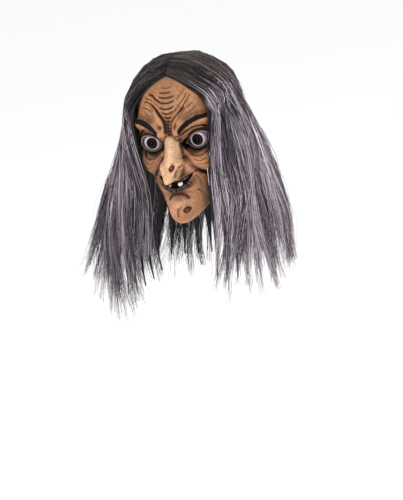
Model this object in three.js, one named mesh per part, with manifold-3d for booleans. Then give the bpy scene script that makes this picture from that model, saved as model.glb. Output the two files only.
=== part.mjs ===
import * as THREE from 'three';
import { mergeVertices } from 'three/addons/utils/BufferGeometryUtils.js';
import Module from 'manifold-3d';

const wasm = await Module();
wasm.setup();

// A rubber hag mask with long parted hair. Sizes are millimetres, the face looks along -Y and +Z is up.
// The origin is the inside of the crown, where the mask sits on the head. Left is the wearer's left, +X.

// Latex head
const faceLength = 252;    // crown to the underside of the chin
const headWidth = 158;     // over the temples
const faceReach = 111;     // ear line forward to the chin
const skullReach = 90;     // ear line back to the back of the skull
const wall = 2.4;          // thickness of the latex
const gap = 0.3;           // clearance between neighbouring pieces

// Nose, eyes, mouth, brows and warts
const noseReach = 42;      // how far the nose stands off the face
const noseWidth = 29;      // over the nose at its tip, without its wings
const noseHook = 6.4;      // how far the tip hangs down
const noseRound = 1.0;     // 1 is a parabola across the nose, more is sharper
const eyeSpacing = 80;
const eyeRadius = 21;
const eyeShell = 2;        // thickness of the eye's dome
const eyeWidest = 64;      // degrees from the middle of the dome to its edge
const eyeOpenWidth = 35;
const eyeOpenHeight = 23;
const eyeTilt = 0.16;      // rise of the opening towards the temple
const cornerPinch = 0.4;   // how much the opening narrows towards its corner by the nose
const lidStart = 2;        // from the rim of the opening inwards, where the lids reach the dome's form
const lidReach = 7;        // how far outside the opening the lids still follow the dome
const mouthWidth = 58;
const mouthHeight = 13;
const mouthSmile = 13;     // how far the corners rise above the middle
const mouthDepth = 11;
const toothWidth = 7.5;
const toothHeight = 15;
const toothDepth = 8.8;
const browStripWidth = 9;
const browStripHeight = 3.4;
const browSunk = 1;        // how far the strip's middle lies above the latex
const wartRadius = 3.9;
const wartSunk = 2.2;      // how deep the wart's ball sits in the latex

// Hair
const hairDrop = 428;      // crown to the longest tips
const hairSpan = 176;      // middle of the head out to where most tips hang
const hairLoft = 17;       // how far the hair stands off the scalp
const hairDepth = 100;     // ear line forward or back to where the tips hang
const lockOverlap = 1.25;  // width of a lock as a share of the way between its neighbours
const minLockWidth = 16;
const lockThickness = 14;
const lockTip = 0.68;      // share of the way down where a lock starts to narrow
const lockTipWidth = 0.15; // width at the very tip as a share
const lockTipThickness = 0.4;
const lockThinning = 0.35; // thickness lost once the lock hangs free
const fringeThickness = 0.6;
const partingWidth = 1.2;

// Head sections from the crown down. front and side are shares of faceReach, back of skullReach,
// half of half the headWidth, and the three drops of faceLength. point sharpens the jaw, and rows
// is how many mesh rows lead to the next section.
const sections = [
  { name: 'pole', front: -0.27, frontDrop: 0.008, half: 0, side: -0.27, sideDrop: 0.008,
    back: 0.333, backDrop: 0.008, point: 1, rows: 1 },
  { name: 'crown', front: -0.02, frontDrop: -0.0095, half: 0.56, side: -0.16, sideDrop: 0.058,
    back: 0.70, backDrop: 0.078, point: 1, rows: 1 },
  { name: 'parting', front: 0.235, frontDrop: -0.004, half: 0.84, side: 0, sideDrop: 0.18,
    back: 0.91, backDrop: 0.18, point: 1, rows: 1 },
  { name: 'hairline', front: 0.477, frontDrop: 0.032, half: 0.90, side: 0.07, sideDrop: 0.246,
    back: 0.98, backDrop: 0.246, point: 1, rows: 2 },
  { name: 'forehead', front: 0.658, frontDrop: 0.135, half: 0.95, side: 0.11, sideDrop: 0.30,
    back: 1.00, backDrop: 0.325, point: 1, rows: 2 },
  { name: 'frown', front: 0.766, frontDrop: 0.254, half: 0.987, side: 0.12, sideDrop: 0.37,
    back: 1.00, backDrop: 0.39, point: 1, rows: 3 },
  { name: 'brow', front: 0.82, frontDrop: 0.365, half: 1, side: 0.117, sideDrop: 0.43,
    back: 0.98, backDrop: 0.445, point: 1, rows: 3 },
  { name: 'eyes', front: 0.793, frontDrop: 0.468, half: 1, side: 0.09, sideDrop: 0.484,
    back: 0.94, backDrop: 0.496, point: 1, rows: 3 },
  { name: 'cheek', front: 0.829, frontDrop: 0.575, half: 0.975, side: 0.054, sideDrop: 0.55,
    back: 0.86, backDrop: 0.548, point: 0.85, rows: 3 },
  { name: 'nose tip', front: 0.883, frontDrop: 0.655, half: 0.955, side: 0.027, sideDrop: 0.61,
    back: 0.79, backDrop: 0.595, point: 0.95, rows: 2 },
  { name: 'mouth', front: 0.91, frontDrop: 0.734, half: 0.935, side: 0, sideDrop: 0.663,
    back: 0.73, backDrop: 0.64, point: 1.2, rows: 2 },
  { name: 'chin crease', front: 0.919, frontDrop: 0.813, half: 0.91, side: -0.027, sideDrop: 0.706,
    back: 0.69, backDrop: 0.68, point: 1.75, rows: 2 },
  { name: 'chin ball', front: 1.0, frontDrop: 0.897, half: 0.89, side: -0.045, sideDrop: 0.742,
    back: 0.66, backDrop: 0.714, point: 2.8, rows: 2 },
  { name: 'chin base', front: 1.0, frontDrop: 0.964, half: 0.87, side: -0.054, sideDrop: 0.766,
    back: 0.64, backDrop: 0.742, point: 3.8, rows: 1 },
  { name: 'under chin', front: 0.865, frontDrop: 0.996, half: 0.85, side: -0.063, sideDrop: 0.786,
    back: 0.63, backDrop: 0.762, point: 3.8, rows: 1 },
  { name: 'rim', front: 0.703, frontDrop: 1.0, half: 0.83, side: -0.072, sideDrop: 0.806,
    back: 0.62, backDrop: 0.782, point: 3.4, rows: 0 },
];

// Round swells and hollows of the face, both sides alike. x is a share of half the headWidth, drop
// and tall of faceLength, wide of half the headWidth, and lift of faceReach.
const swells = [
  { name: 'brow corner', x: 0.15, drop: 0.40, wide: 0.09, tall: 0.028, lift: 0.035 },
  { name: 'frown channel', x: 0, drop: 0.36, wide: 0.06, tall: 0.075, lift: -0.036 },
  { name: 'frown muscle', x: 0.21, drop: 0.325, wide: 0.12, tall: 0.05, lift: 0.040 },
  { name: 'eye socket', x: 0.51, drop: 0.475, wide: 0.34, tall: 0.083, lift: -0.082 },
  { name: 'cheekbone', x: 0.64, drop: 0.585, wide: 0.24, tall: 0.052, lift: 0.070 },
  { name: 'gaunt cheek', x: 0.72, drop: 0.69, wide: 0.18, tall: 0.055, lift: -0.035 },
  { name: 'muzzle', x: 0, drop: 0.70, wide: 0.36, tall: 0.070, lift: 0.058 },
  { name: 'nose wing', x: 0.19, drop: 0.598, wide: 0.085, tall: 0.030, lift: 0.105 },
  { name: 'wing crease', x: 0.285, drop: 0.60, wide: 0.04, tall: 0.028, lift: -0.030 },
  { name: 'lower lip', x: 0, drop: 0.768, wide: 0.26, tall: 0.014, lift: 0.034 },
  { name: 'chin ball', x: 0, drop: 0.905, wide: 0.20, tall: 0.052, lift: 0.062 },
];

// Long folds of the face, both sides alike. path holds x as a share of half the headWidth and the
// drop as a share of faceLength. wide is a share of faceLength and lift of faceReach.
const folds = [
  { name: 'brow ridge', wide: 0.034, lift: 0.078,
    path: [[0.10, 0.418], [0.18, 0.402], [0.34, 0.368], [0.54, 0.345], [0.74, 0.342], [0.88, 0.365]] },
  { name: 'frown ridge', wide: 0.016, lift: 0.026,
    path: [[0.29, 0.25], [0.16, 0.31], [0.08, 0.35], [0.11, 0.41]] },
  { name: 'eye bag', wide: 0.015, lift: 0.026,
    path: [[0.28, 0.515], [0.38, 0.552], [0.53, 0.565], [0.71, 0.548], [0.81, 0.508]] },
  { name: 'smile fold', wide: 0.014, lift: -0.062,
    path: [[0.20, 0.552], [0.29, 0.585], [0.38, 0.628], [0.52, 0.672], [0.62, 0.70], [0.67, 0.76]] },
  { name: 'cheek roll', wide: 0.028, lift: 0.034,
    path: [[0.31, 0.556], [0.43, 0.598], [0.58, 0.636], [0.72, 0.668]] },
  { name: 'chin crease', wide: 0.013, lift: -0.042,
    path: [[0, 0.790], [0.08, 0.794], [0.17, 0.810], [0.23, 0.836]] },
];

// Nose profile from the bridge to its underside: drop is a share of faceLength, out of noseReach
// and wide of the noseWidth's half.
const noseProfile = [
  { drop: 0.385, out: 0, wide: 1.05 },
  { drop: 0.41, out: 0.07, wide: 1.05 },
  { drop: 0.44, out: 0.22, wide: 1.05 },
  { drop: 0.48, out: 0.41, wide: 1.07 },
  { drop: 0.525, out: 0.62, wide: 1.12 },
  { drop: 0.57, out: 0.81, wide: 1.18 },
  { drop: 0.61, out: 0.94, wide: 1.2 },
  { drop: 0.638, out: 1.0, wide: 1.1 },
  { drop: 0.656, out: 0.97, wide: 0.98 },
  { drop: 0.672, out: 0.78, wide: 0.88 },
  { drop: 0.688, out: 0.33, wide: 0.78 },
  { drop: 0.708, out: 0, wide: 0.7 },
];

// Where the pieces of the face sit: x is a share of half the headWidth and drop of faceLength.
const eyePlace = { drop: 0.470, reach: 0.492 };
const mouthPlace = { drop: 0.722 };
const teeth = [
  { name: 'tooth_large', x: 0.085, lean: 0.14, size: 1 },
  { name: 'tooth_small', x: -0.13, lean: 0, size: 0.62 },
];
// Outline of a tooth in shares of its width and height, rounded at its free end.
const toothOutline = [[-0.5, 0], [0.5, 0], [0.5, 0.89], [0.25, 1], [-0.25, 1], [-0.5, 0.89]];
const warts = [
  { x: 0.09, drop: 0.578 },
  { x: 0.18, drop: 0.893 },
];
const browPath = [[0.20, 0.386], [0.34, 0.352], [0.53, 0.327], [0.72, 0.323]];

// Hair guides from the forehead round to the nape. root is the angle of the root along the parting
// and hang the angle round the head where the lock leaves it, both in degrees from the front. tipX
// is a share of hairSpan, tipY of hairDepth and tipZ of hairDrop, and bow of hairLoft.
const hairGuides = {
  left: [
    { name: 'fringe', root: 50, hang: 42, tipX: 0.09, tipY: -0.75, tipZ: 0.93, bow: 0.0 },
    { name: 'temple', root: 66, hang: 62, tipX: 0.33, tipY: -0.62, tipZ: 0.95, bow: 0.5 },
    { name: 'ear', root: 82, hang: 84, tipX: 0.62, tipY: -0.42, tipZ: 0.90, bow: 1.5 },
    { name: 'behind ear', root: 98, hang: 110, tipX: 0.76, tipY: 0.0, tipZ: 0.84, bow: 1.6 },
    { name: 'nape side', root: 114, hang: 140, tipX: 0.56, tipY: 0.72, tipZ: 0.92, bow: 1.0 },
    { name: 'nape', root: 130, hang: 172, tipX: 0.05, tipY: 0.98, tipZ: 0.95, bow: 0.8 },
  ],
  right: [
    { name: 'fringe', root: 50, hang: 46, tipX: 0.30, tipY: -0.72, tipZ: 0.86, bow: 0.4 },
    { name: 'temple', root: 66, hang: 64, tipX: 0.60, tipY: -0.66, tipZ: 0.96, bow: 0.8 },
    { name: 'ear', root: 82, hang: 84, tipX: 0.90, tipY: -0.52, tipZ: 1.00, bow: 1.4 },
    { name: 'behind ear', root: 98, hang: 108, tipX: 1.26, tipY: -0.22, tipZ: 0.84, bow: 1.4 },
    { name: 'nape side', root: 114, hang: 138, tipX: 0.84, tipY: 0.66, tipZ: 0.93, bow: 1.0 },
    { name: 'nape', root: 130, hang: 172, tipX: 0.16, tipY: 0.98, tipZ: 0.96, bow: 0.8 },
  ],
};
const locksPerSide = 8;

// How far a lock stands off the latex on its way from the parting to where it falls free, as shares
// of hairLoft.
const hairLofts = { root: 0.15, first: 0.15, middle: 0.4, second: 0.5, leave: 0.5 };

const halfHead = headWidth / 2;
const skullCentre = new THREE.Vector3(0, 0.045 * faceReach, -0.335 * faceLength);

// Small helpers
const smoothStep = (t) => {
  const x = THREE.MathUtils.clamp(t, 0, 1);
  return x * x * (3 - 2 * x);
};

const bell = (distance) => Math.exp(-distance * distance);

// A smooth curve through the rows of a table, read at row number t.
function readRows(rows, key, t) {
  const i = Math.min(Math.floor(t), rows.length - 2);
  const f = t - i;
  const at = (k) => rows[THREE.MathUtils.clamp(k, 0, rows.length - 1)][key];
  const [a, b, c, d] = [at(i - 1), at(i), at(i + 1), at(i + 2)];
  const bend = (2 * a - 5 * b + 4 * c - d) * f ** 2 + (3 * b - a - 3 * c + d) * f ** 3;
  return b + 0.5 * ((c - a) * f + bend);
}

// A curve through the nose profile that never swings past its rows.
function readNose(key, drop) {
  const last = noseProfile.length - 1;
  let i = 0;
  while (i < last - 1 && noseProfile[i + 1].drop < drop) i += 1;
  const slope = (k) => {
    if (k < 0 || k >= last) return 0;
    const [upper, lower] = [noseProfile[k], noseProfile[k + 1]];
    return (lower[key] - upper[key]) / (lower.drop - upper.drop);
  };
  const tangent = (k) => {
    const [before, after] = [slope(k - 1), slope(k)];
    return before * after > 0 ? (2 * before * after) / (before + after) : 0;
  };
  const span = noseProfile[i + 1].drop - noseProfile[i].drop;
  const t = THREE.MathUtils.clamp((drop - noseProfile[i].drop) / span, 0, 1);
  return (2 * t ** 3 - 3 * t ** 2 + 1) * noseProfile[i][key]
    + (t ** 3 - 2 * t ** 2 + t) * span * tangent(i)
    + (3 * t ** 2 - 2 * t ** 3) * noseProfile[i + 1][key]
    + (t ** 3 - t ** 2) * span * tangent(i + 1);
}

// Face surface

// The plain head, before any feature: around is the angle from the front, row the section number.
function headPoint(around, row) {
  const read = (key) => readRows(sections, key, row);
  const half = read('half') * halfHead;
  const sideY = -read('side') * faceReach;
  const sideZ = -read('sideDrop') * faceLength;
  const cosine = Math.cos(around);
  if (cosine >= 0) {
    const share = Math.max(cosine, 0) ** read('point');
    const frontY = -read('front') * faceReach;
    const frontZ = -read('frontDrop') * faceLength;
    return new THREE.Vector3(half * Math.sin(around), sideY + (frontY - sideY) * share,
      sideZ + (frontZ - sideZ) * share);
  }
  const backY = read('back') * skullReach;
  const backZ = -read('backDrop') * faceLength;
  return new THREE.Vector3(half * Math.sin(around), sideY - (backY - sideY) * cosine,
    sideZ - (backZ - sideZ) * cosine);
}

function distanceToPath(x, z, path) {
  const points = path.map(([px, drop]) => new THREE.Vector2(px * halfHead, -drop * faceLength));
  let best = Infinity;
  let along = 0;
  for (let i = 0; i < points.length - 1; i += 1) {
    const step = points[i + 1].clone().sub(points[i]);
    const from = new THREE.Vector2(x, z).sub(points[i]);
    const t = THREE.MathUtils.clamp(from.dot(step) / step.lengthSq(), 0, 1);
    const distance = from.sub(step.multiplyScalar(t)).length();
    if (distance < best) {
      best = distance;
      along = (i + t) / (points.length - 1);
    }
  }
  return { distance: best, along };
}

// Folds run out over this share of their length, and features over the last of the face's turn.
const foldFade = 0.2;
const sideFade = 0.3;

// How far the swells and folds lift the latex at a place on the face.
function faceLift(x, z) {
  const out = Math.abs(x);
  let lift = 0;
  for (const swell of swells) {
    const across = (out - swell.x * halfHead) / (swell.wide * halfHead);
    const down = (z + swell.drop * faceLength) / (swell.tall * faceLength);
    lift += swell.lift * faceReach * bell(across) * bell(down);
  }
  for (const fold of folds) {
    const { distance, along } = distanceToPath(out, z, fold.path);
    const crossesMiddle = fold.path[0][0] === 0;
    const fromEnd = crossesMiddle ? 1 - along : Math.min(along, 1 - along);
    const ends = Math.sqrt(THREE.MathUtils.clamp(fromEnd / foldFade, 0, 1));
    lift += fold.lift * faceReach * bell(distance / (fold.wide * faceLength)) * ends;
  }
  return lift;
}

function noseLift(x, z) {
  const drop = -z / faceLength;
  if (drop <= noseProfile[0].drop || drop >= noseProfile[noseProfile.length - 1].drop) return 0;
  const across = Math.abs(x) / (readNose('wide', drop) * noseWidth / 2);
  if (across >= 1) return 0;
  return noseReach * Math.max(readNose('out', drop), 0) * (1 - across * across) ** noseRound;
}

function eyeCentre(side) {
  return new THREE.Vector3(side * eyeSpacing / 2, -eyePlace.reach * faceReach, -eyePlace.drop * faceLength);
}

// Share of the opening's height that is left at a place across, which is below 0 towards the nose.
const cornerHeight = (across) => 1 - cornerPinch
  * THREE.MathUtils.clamp(-across / (eyeOpenWidth / 2), 0, 1) ** 2;

// Above 0 inside the eye opening and below 0 outside it, in millimetres.
function insideEyeOpening(x, z) {
  const across = Math.abs(x) - eyeSpacing / 2;
  const up = (z + eyePlace.drop * faceLength - eyeTilt * across) / cornerHeight(across);
  return (1 - Math.hypot(across / (eyeOpenWidth / 2), up / (eyeOpenHeight / 2))) * eyeOpenHeight / 2;
}

// The eyelids follow the eye's dome, with the latex and its clearance between.
function hugEye(point, clearance) {
  const centre = eyeCentre(point.x < 0 ? -1 : 1);
  const radius = eyeRadius + clearance;
  const flat = Math.hypot(point.x - centre.x, point.z - centre.z);
  if (flat < radius) {
    const share = smoothStep((insideEyeOpening(point.x, point.z) + lidReach + lidStart) / lidReach);
    const lidY = centre.y - Math.sqrt(radius * radius - flat * flat);
    point.y += (lidY - point.y) * share;
  }
  const away = point.clone().sub(centre);
  if (away.length() < radius) point.copy(centre).addScaledVector(away.normalize(), radius);
}

function facePoint(around, row) {
  const point = headPoint(around, row);
  if (Math.cos(around) <= 0 || row < 1) return point;
  const step = 0.002;      // small enough to give the slope
  const across = headPoint(around + step, row).sub(headPoint(around - step, row));
  const down = headPoint(around, row + step).sub(headPoint(around, row - step));
  const normal = down.cross(across).normalize();
  const { x, z } = point;
  point.addScaledVector(normal, faceLift(x, z) * smoothStep(Math.cos(around) / sideFade));
  hugEye(point, gap + wall);
  const nose = noseLift(x, z);
  point.y -= nose;
  point.z -= noseHook * (nose / noseReach) ** 2;
  return point;
}

// The place on the face in front of x and drop, and the way the surface faces there.
function faceAt(x, drop) {
  let low = 2;
  let high = sections.length - 2;
  let around = 0;
  for (let i = 0; i < 30; i += 1) {
    const row = (low + high) / 2;
    around = Math.asin(THREE.MathUtils.clamp(x / (readRows(sections, 'half', row) * halfHead), -1, 1));
    if (headPoint(around, row).z > -drop * faceLength) low = row;
    else high = row;
  }
  const row = (low + high) / 2;
  const step = 0.02;
  const across = facePoint(around + step, row).sub(facePoint(around - step, row));
  const down = facePoint(around, row + step).sub(facePoint(around, row - step));
  return { point: facePoint(around, row), normal: down.cross(across).normalize() };
}

// Meshes and solids

const frontColumns = 28;
const backColumns = 7;
const evenColumns = 0.48;  // 1 spreads the front columns evenly, less crowds them to the middle

function columnAngles() {
  const angles = [];
  for (let i = 0; i < frontColumns; i += 1) {
    const t = 2 * i / frontColumns - 1;
    angles.push(Math.PI / 2 * (evenColumns * t + (1 - evenColumns) * t ** 3));
  }
  for (let i = 0; i < backColumns; i += 1) angles.push(Math.PI / 2 + Math.PI * i / backColumns);
  return angles;
}

function rowNumbers() {
  const rows = [];
  sections.forEach(({ rows: steps }, index) => {
    for (let i = 0; i < steps; i += 1) rows.push(index + i / steps);
  });
  return [...rows.slice(1), sections.length - 1];
}

const headGrid = (() => {
  const angles = columnAngles();
  const points = rowNumbers().map((row) => angles.map((around) => facePoint(around, row)));
  const pole = headPoint(0, 0);
  const normals = points.map((line, r) => line.map((_, c) => {
    const across = line[(c + 1) % line.length].clone().sub(line[(c + line.length - 1) % line.length]);
    const above = r > 0 ? points[r - 1][c] : pole;
    const below = points[Math.min(r + 1, points.length - 1)][c];
    return below.clone().sub(above).cross(across).normalize();
  }));
  return { points, normals, pole };
})();

// The head's surface moved out by lift, or in where lift is below 0.
function liftedGrid(lift) {
  const rows = headGrid.points.map((line, r) => line.map((point, c) => {
    const moved = point.clone().addScaledVector(headGrid.normals[r][c], lift);
    const centre = eyeCentre(moved.x < 0 ? -1 : 1);
    const away = moved.clone().sub(centre);
    const clear = eyeRadius + gap + wall + lift;
    if (away.y < 0 && away.length() < clear) moved.copy(centre).addScaledVector(away.normalize(), clear);
    return moved;
  }));
  return { rows, pole: headGrid.pole.clone().setZ(headGrid.pole.z + lift) };
}

function solidFrom(points, triangles) {
  const geometry = new THREE.BufferGeometry();
  const numbers = points.flatMap((point) => point.toArray());
  geometry.setAttribute('position', new THREE.Float32BufferAttribute(numbers, 3));
  geometry.setIndex(triangles.flat());
  return toSolid(geometry);
}

function toSolid(geometry) {
  const bare = geometry.clone();
  bare.deleteAttribute('normal');
  bare.deleteAttribute('uv');
  const merged = mergeVertices(bare, 1e-4);
  return new wasm.Manifold(new wasm.Mesh({
    numProp: 3,
    vertProperties: new Float32Array(merged.attributes.position.array),
    triVerts: new Uint32Array(merged.index.array),
  }));
}

function toGeometry(solid) {
  const mesh = solid.getMesh();
  const geometry = new THREE.BufferGeometry();
  geometry.setAttribute('position', new THREE.Float32BufferAttribute(mesh.vertProperties, 3));
  geometry.setIndex(Array.from(mesh.triVerts));
  geometry.computeVertexNormals();
  return geometry;
}

// Triangles of rings joined one to the next. Each ring holds the numbers of its points.
function joinRings(rings) {
  const triangles = [];
  for (let r = 0; r < rings.length - 1; r += 1) {
    const [upper, lower] = [rings[r], rings[r + 1]];
    for (let c = 0; c < upper.length; c += 1) {
      const next = (c + 1) % upper.length;
      triangles.push([upper[c], lower[c], lower[next]], [upper[c], lower[next], upper[next]]);
    }
  }
  return triangles;
}

function fan(centre, ring) {
  return ring.map((corner, c) => [centre, corner, ring[(c + 1) % ring.length]]);
}

// A closed head: the surface at one lift, with its neck closed or with an inner surface.
function headSolid(outerLift, innerLift) {
  const outer = liftedGrid(outerLift);
  const columns = outer.rows[0].length;
  const points = [outer.pole, ...outer.rows.flat()];
  const ringAt = (first) => outer.rows.map((_, r) => outer.rows[0].map((__, c) => first + r * columns + c));
  const outerRings = ringAt(1);
  const triangles = [...fan(0, outerRings[0]), ...joinRings(outerRings)];
  const lastRing = outerRings[outerRings.length - 1];
  if (innerLift === undefined) {
    const middle = new THREE.Vector3();
    outer.rows[outer.rows.length - 1].forEach((point) => middle.addScaledVector(point, 1 / columns));
    points.push(middle);
    const reversed = [...lastRing].reverse();
    return solidFrom(points, [...triangles, ...fan(points.length - 1, reversed)]);
  }
  const inner = liftedGrid(innerLift);
  const innerPole = points.length;
  points.push(inner.pole, ...inner.rows.flat());
  const innerRings = ringAt(innerPole + 1);
  const inside = [...fan(innerPole, innerRings[0]), ...joinRings(innerRings)].map(([a, b, c]) => [a, c, b]);
  const rim = joinRings([lastRing, innerRings[innerRings.length - 1]]);
  return solidFrom(points, [...triangles, ...inside, ...rim]);
}

// A closed tube through sections, each a ring of points.
function tubeSolid(ringsOfPoints) {
  const sides = ringsOfPoints[0].length;
  const points = ringsOfPoints.flat();
  const rings = ringsOfPoints.map((_, r) => Array.from({ length: sides }, (__, c) => r * sides + c));
  const start = points.length;
  for (const ring of [ringsOfPoints[0], ringsOfPoints[ringsOfPoints.length - 1]]) {
    const middle = new THREE.Vector3();
    ring.forEach((point) => middle.addScaledVector(point, 1 / sides));
    points.push(middle);
  }
  const lastRing = [...rings[rings.length - 1]].reverse();
  return solidFrom(points, [...fan(start, rings[0]), ...joinRings(rings), ...fan(start + 1, lastRing)]);
}

// A flat outline in X and Z pushed along Y from yFront to yBack.
function prism(outline, yFront, yBack) {
  const rings = [yFront, yBack].map((y) => outline.map(([x, z]) => new THREE.Vector3(x, y, z)));
  return tubeSolid(rings);
}

// Mouth

const mouthSteps = 10;

// The smiling outline of the mouth, grown by extra all round.
function mouthOutline(extra) {
  const halfWidth = mouthWidth / 2 + extra;
  const middleZ = -mouthPlace.drop * faceLength;
  const edge = (direction) => Array.from({ length: mouthSteps + 1 }, (_, i) => {
    const t = 2 * i / mouthSteps - 1;
    const x = halfWidth * t;
    const rise = mouthSmile * (x / (mouthWidth / 2)) ** 2;
    const opening = (mouthHeight / 2) * Math.sqrt(Math.max(1 - t * t, 0)) + extra;
    return [x, middleZ + rise + direction * opening];
  });
  return [...edge(1).reverse(), ...edge(-1)];
}

const mouthBack = () => faceAt(0, mouthPlace.drop).point.y + mouthDepth;
const mouthFront = () => faceAt(0, mouthPlace.drop).point.y - 2 * mouthDepth;

// Pieces

const eyeOpenSides = 20;
const socketMargin = 12;   // degrees of socket past the edge of the eye's dome

function buildHead() {
  let head = headSolid(0, -wall);
  const pocket = prism(mouthOutline(wall), mouthFront(), mouthBack() + wall).intersect(headSolid(0));
  head = head.add(pocket).subtract(prism(mouthOutline(0), mouthFront(), mouthBack()));
  for (const side of [-1, 1]) {
    const centre = eyeCentre(side);
    const outline = Array.from({ length: eyeOpenSides }, (_, i) => {
      const turn = 2 * Math.PI * i / eyeOpenSides;
      const across = Math.cos(turn) * eyeOpenWidth / 2;
      const up = eyeTilt * across + Math.sin(turn) * cornerHeight(across) * eyeOpenHeight / 2;
      return [centre.x + side * across, centre.z + up];
    });
    const facing = side > 0 ? outline : outline.reverse();
    const room = domeSolid(eyeRadius + gap, eyeWidest + socketMargin).translate(centre.toArray());
    head = head.subtract(room).subtract(prism(facing, centre.y - 3 * eyeRadius, centre.y));
  }
  for (const { x, drop } of warts) {
    const { point, normal } = faceAt(x * halfHead, drop);
    const ball = new THREE.IcosahedronGeometry(wartRadius, 1);
    ball.translate(...point.addScaledVector(normal, wartRadius - wartSunk).toArray());
    head = head.add(toSolid(ball));
  }
  return head;
}

// A dome that looks forward, out to widest degrees from its middle, with an inner radius or solid.
const domeSteps = 6;
const domeInnerSteps = 3;
const domeSides = 16;

function domeSolid(radius, widest, innerRadius = 0) {
  const arc = (size, steps) => Array.from({ length: steps + 1 }, (_, i) => {
    const turn = THREE.MathUtils.degToRad(widest) * i / steps;
    return new THREE.Vector2(size * Math.sin(turn), size * Math.cos(turn));
  });
  const inside = innerRadius > 0 ? arc(innerRadius, domeInnerSteps) : [new THREE.Vector2(0, 0)];
  const dome = new THREE.LatheGeometry([...inside, ...arc(radius, domeSteps).reverse()], domeSides);
  dome.rotateX(Math.PI);
  return toSolid(dome);
}

const buildEye = () => domeSolid(eyeRadius, eyeWidest, eyeRadius - eyeShell);

// A tooth that stands up from the floor of the mouth, in front of its back wall.
function buildTooth({ x, lean, size }) {
  const back = mouthBack() - gap;
  const front = back - toothDepth;
  const foot = -faceLength * mouthPlace.drop - mouthHeight;
  const tall = toothHeight * (0.6 + 0.4 * size);
  const outline = toothOutline.map(([across, up]) => [
    x * halfHead + (across * size + lean * up) * toothWidth,
    foot + up * tall,
  ]);
  const mouthRoom = prism(mouthOutline(-gap), front - gap, back + gap);
  return prism(outline, front, back).intersect(mouthRoom);
}

// A brow of fuzzy strip on one side, grown by extra all round.
const browSides = 8;
const browEnd = 0.35;      // size of the strip's ends as a share of its middle

function browTube(side, extra) {
  const steps = 9;
  const rings = [];
  for (let i = 0; i <= steps; i += 1) {
    const t = i / steps;
    const place = t * (browPath.length - 1);
    const read = (key) => readRows(browPath, key, place);
    const here = faceAt(side * read(0) * halfHead, read(1));
    const ahead = faceAt(side * (read(0) + 0.02) * halfHead, read(1));
    const along = ahead.point.clone().sub(here.point).normalize().multiplyScalar(side);
    const across = here.normal.clone().cross(along).normalize();
    const size = browEnd + (1 - browEnd) * Math.sqrt(Math.sin(Math.PI * (0.12 + 0.8 * t)));
    const halfWide = size * browStripWidth / 2 + extra;
    const tall = size * browStripHeight + extra;
    rings.push(Array.from({ length: browSides }, (_, k) => {
      const turn = 2 * Math.PI * k / browSides;
      return here.point.clone()
        .addScaledVector(across, -Math.cos(turn) * halfWide)
        .addScaledVector(here.normal, Math.sin(turn) * tall + browSunk);
    }));
  }
  const lengthen = (ring, next) => {
    const away = ring[0].clone().sub(next[0]).setLength(extra);
    ring.forEach((point) => point.add(away));
  };
  lengthen(rings[0], rings[1]);
  lengthen(rings[steps], rings[steps - 1]);
  return tubeSolid(side > 0 ? rings : rings.reverse());
}

// Hair

// A direction from the skull's centre: turn goes round from the front, rise up from level.
const direction = (turn, rise) => new THREE.Vector3(
  Math.sin(turn) * Math.cos(rise), -Math.cos(turn) * Math.cos(rise), Math.sin(rise));

// How far the latex reaches from the skull's centre in a direction, evened out over spread radians.
function scalpReach(dir) {
  const spread = 0.13;
  let sum = 0;
  let weights = 0;
  for (const point of headGrid.points.flat()) {
    const away = point.clone().sub(skullCentre);
    const reach = away.length();
    const weight = bell(away.angleTo(dir) / spread);
    sum += weight * reach;
    weights += weight;
  }
  return sum / weights;
}

// The middle line of a lock on the side named, from the parting to its tip.
function hairLine(sideName, place) {
  const side = sideName === 'left' ? 1 : -1;
  const guides = hairGuides[sideName];
  const read = (key) => readRows(guides, key, place * (guides.length - 1));
  const hangTurn = THREE.MathUtils.degToRad(read('hang'));
  const rootTurn = THREE.MathUtils.degToRad(read('root'));
  const root = new THREE.Vector3(0, -Math.cos(rootTurn), Math.sin(rootTurn));
  const hang = direction(hangTurn, -0.1).multiply(new THREE.Vector3(side, 1, 1));
  const combedOut = 0.6 * smoothStep((Math.PI - hangTurn) / 1.6);
  const middle = root.clone().add(hang).addScaledVector(new THREE.Vector3(side, 0, 0), combedOut).normalize();
  const first = root.clone().multiplyScalar(0.8).addScaledVector(middle, 0.45).normalize();
  const second = middle.clone().addScaledVector(hang, 0.75).normalize();
  const onScalp = (dir, loft) => {
    const reach = scalpReach(dir) + loft * hairLoft;
    return dir.clone().multiplyScalar(reach).add(skullCentre);
  };
  const leave = onScalp(hang, hairLofts.leave);
  const tip = new THREE.Vector3(side * read('tipX') * hairSpan, read('tipY') * hairDepth,
    -read('tipZ') * hairDrop);
  const outward = new THREE.Vector3(hang.x, hang.y, 0).normalize();
  const falling = (share) => leave.clone().lerp(tip, share)
    .addScaledVector(outward, read('bow') * hairLoft * Math.sin(Math.PI * share) * 0.6);
  return new THREE.CatmullRomCurve3([
    onScalp(root, hairLofts.root), onScalp(first, hairLofts.first), onScalp(middle, hairLofts.middle),
    onScalp(second, hairLofts.second), leave, falling(0.3), falling(0.62), tip,
  ], false, 'centripetal');
}

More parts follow.
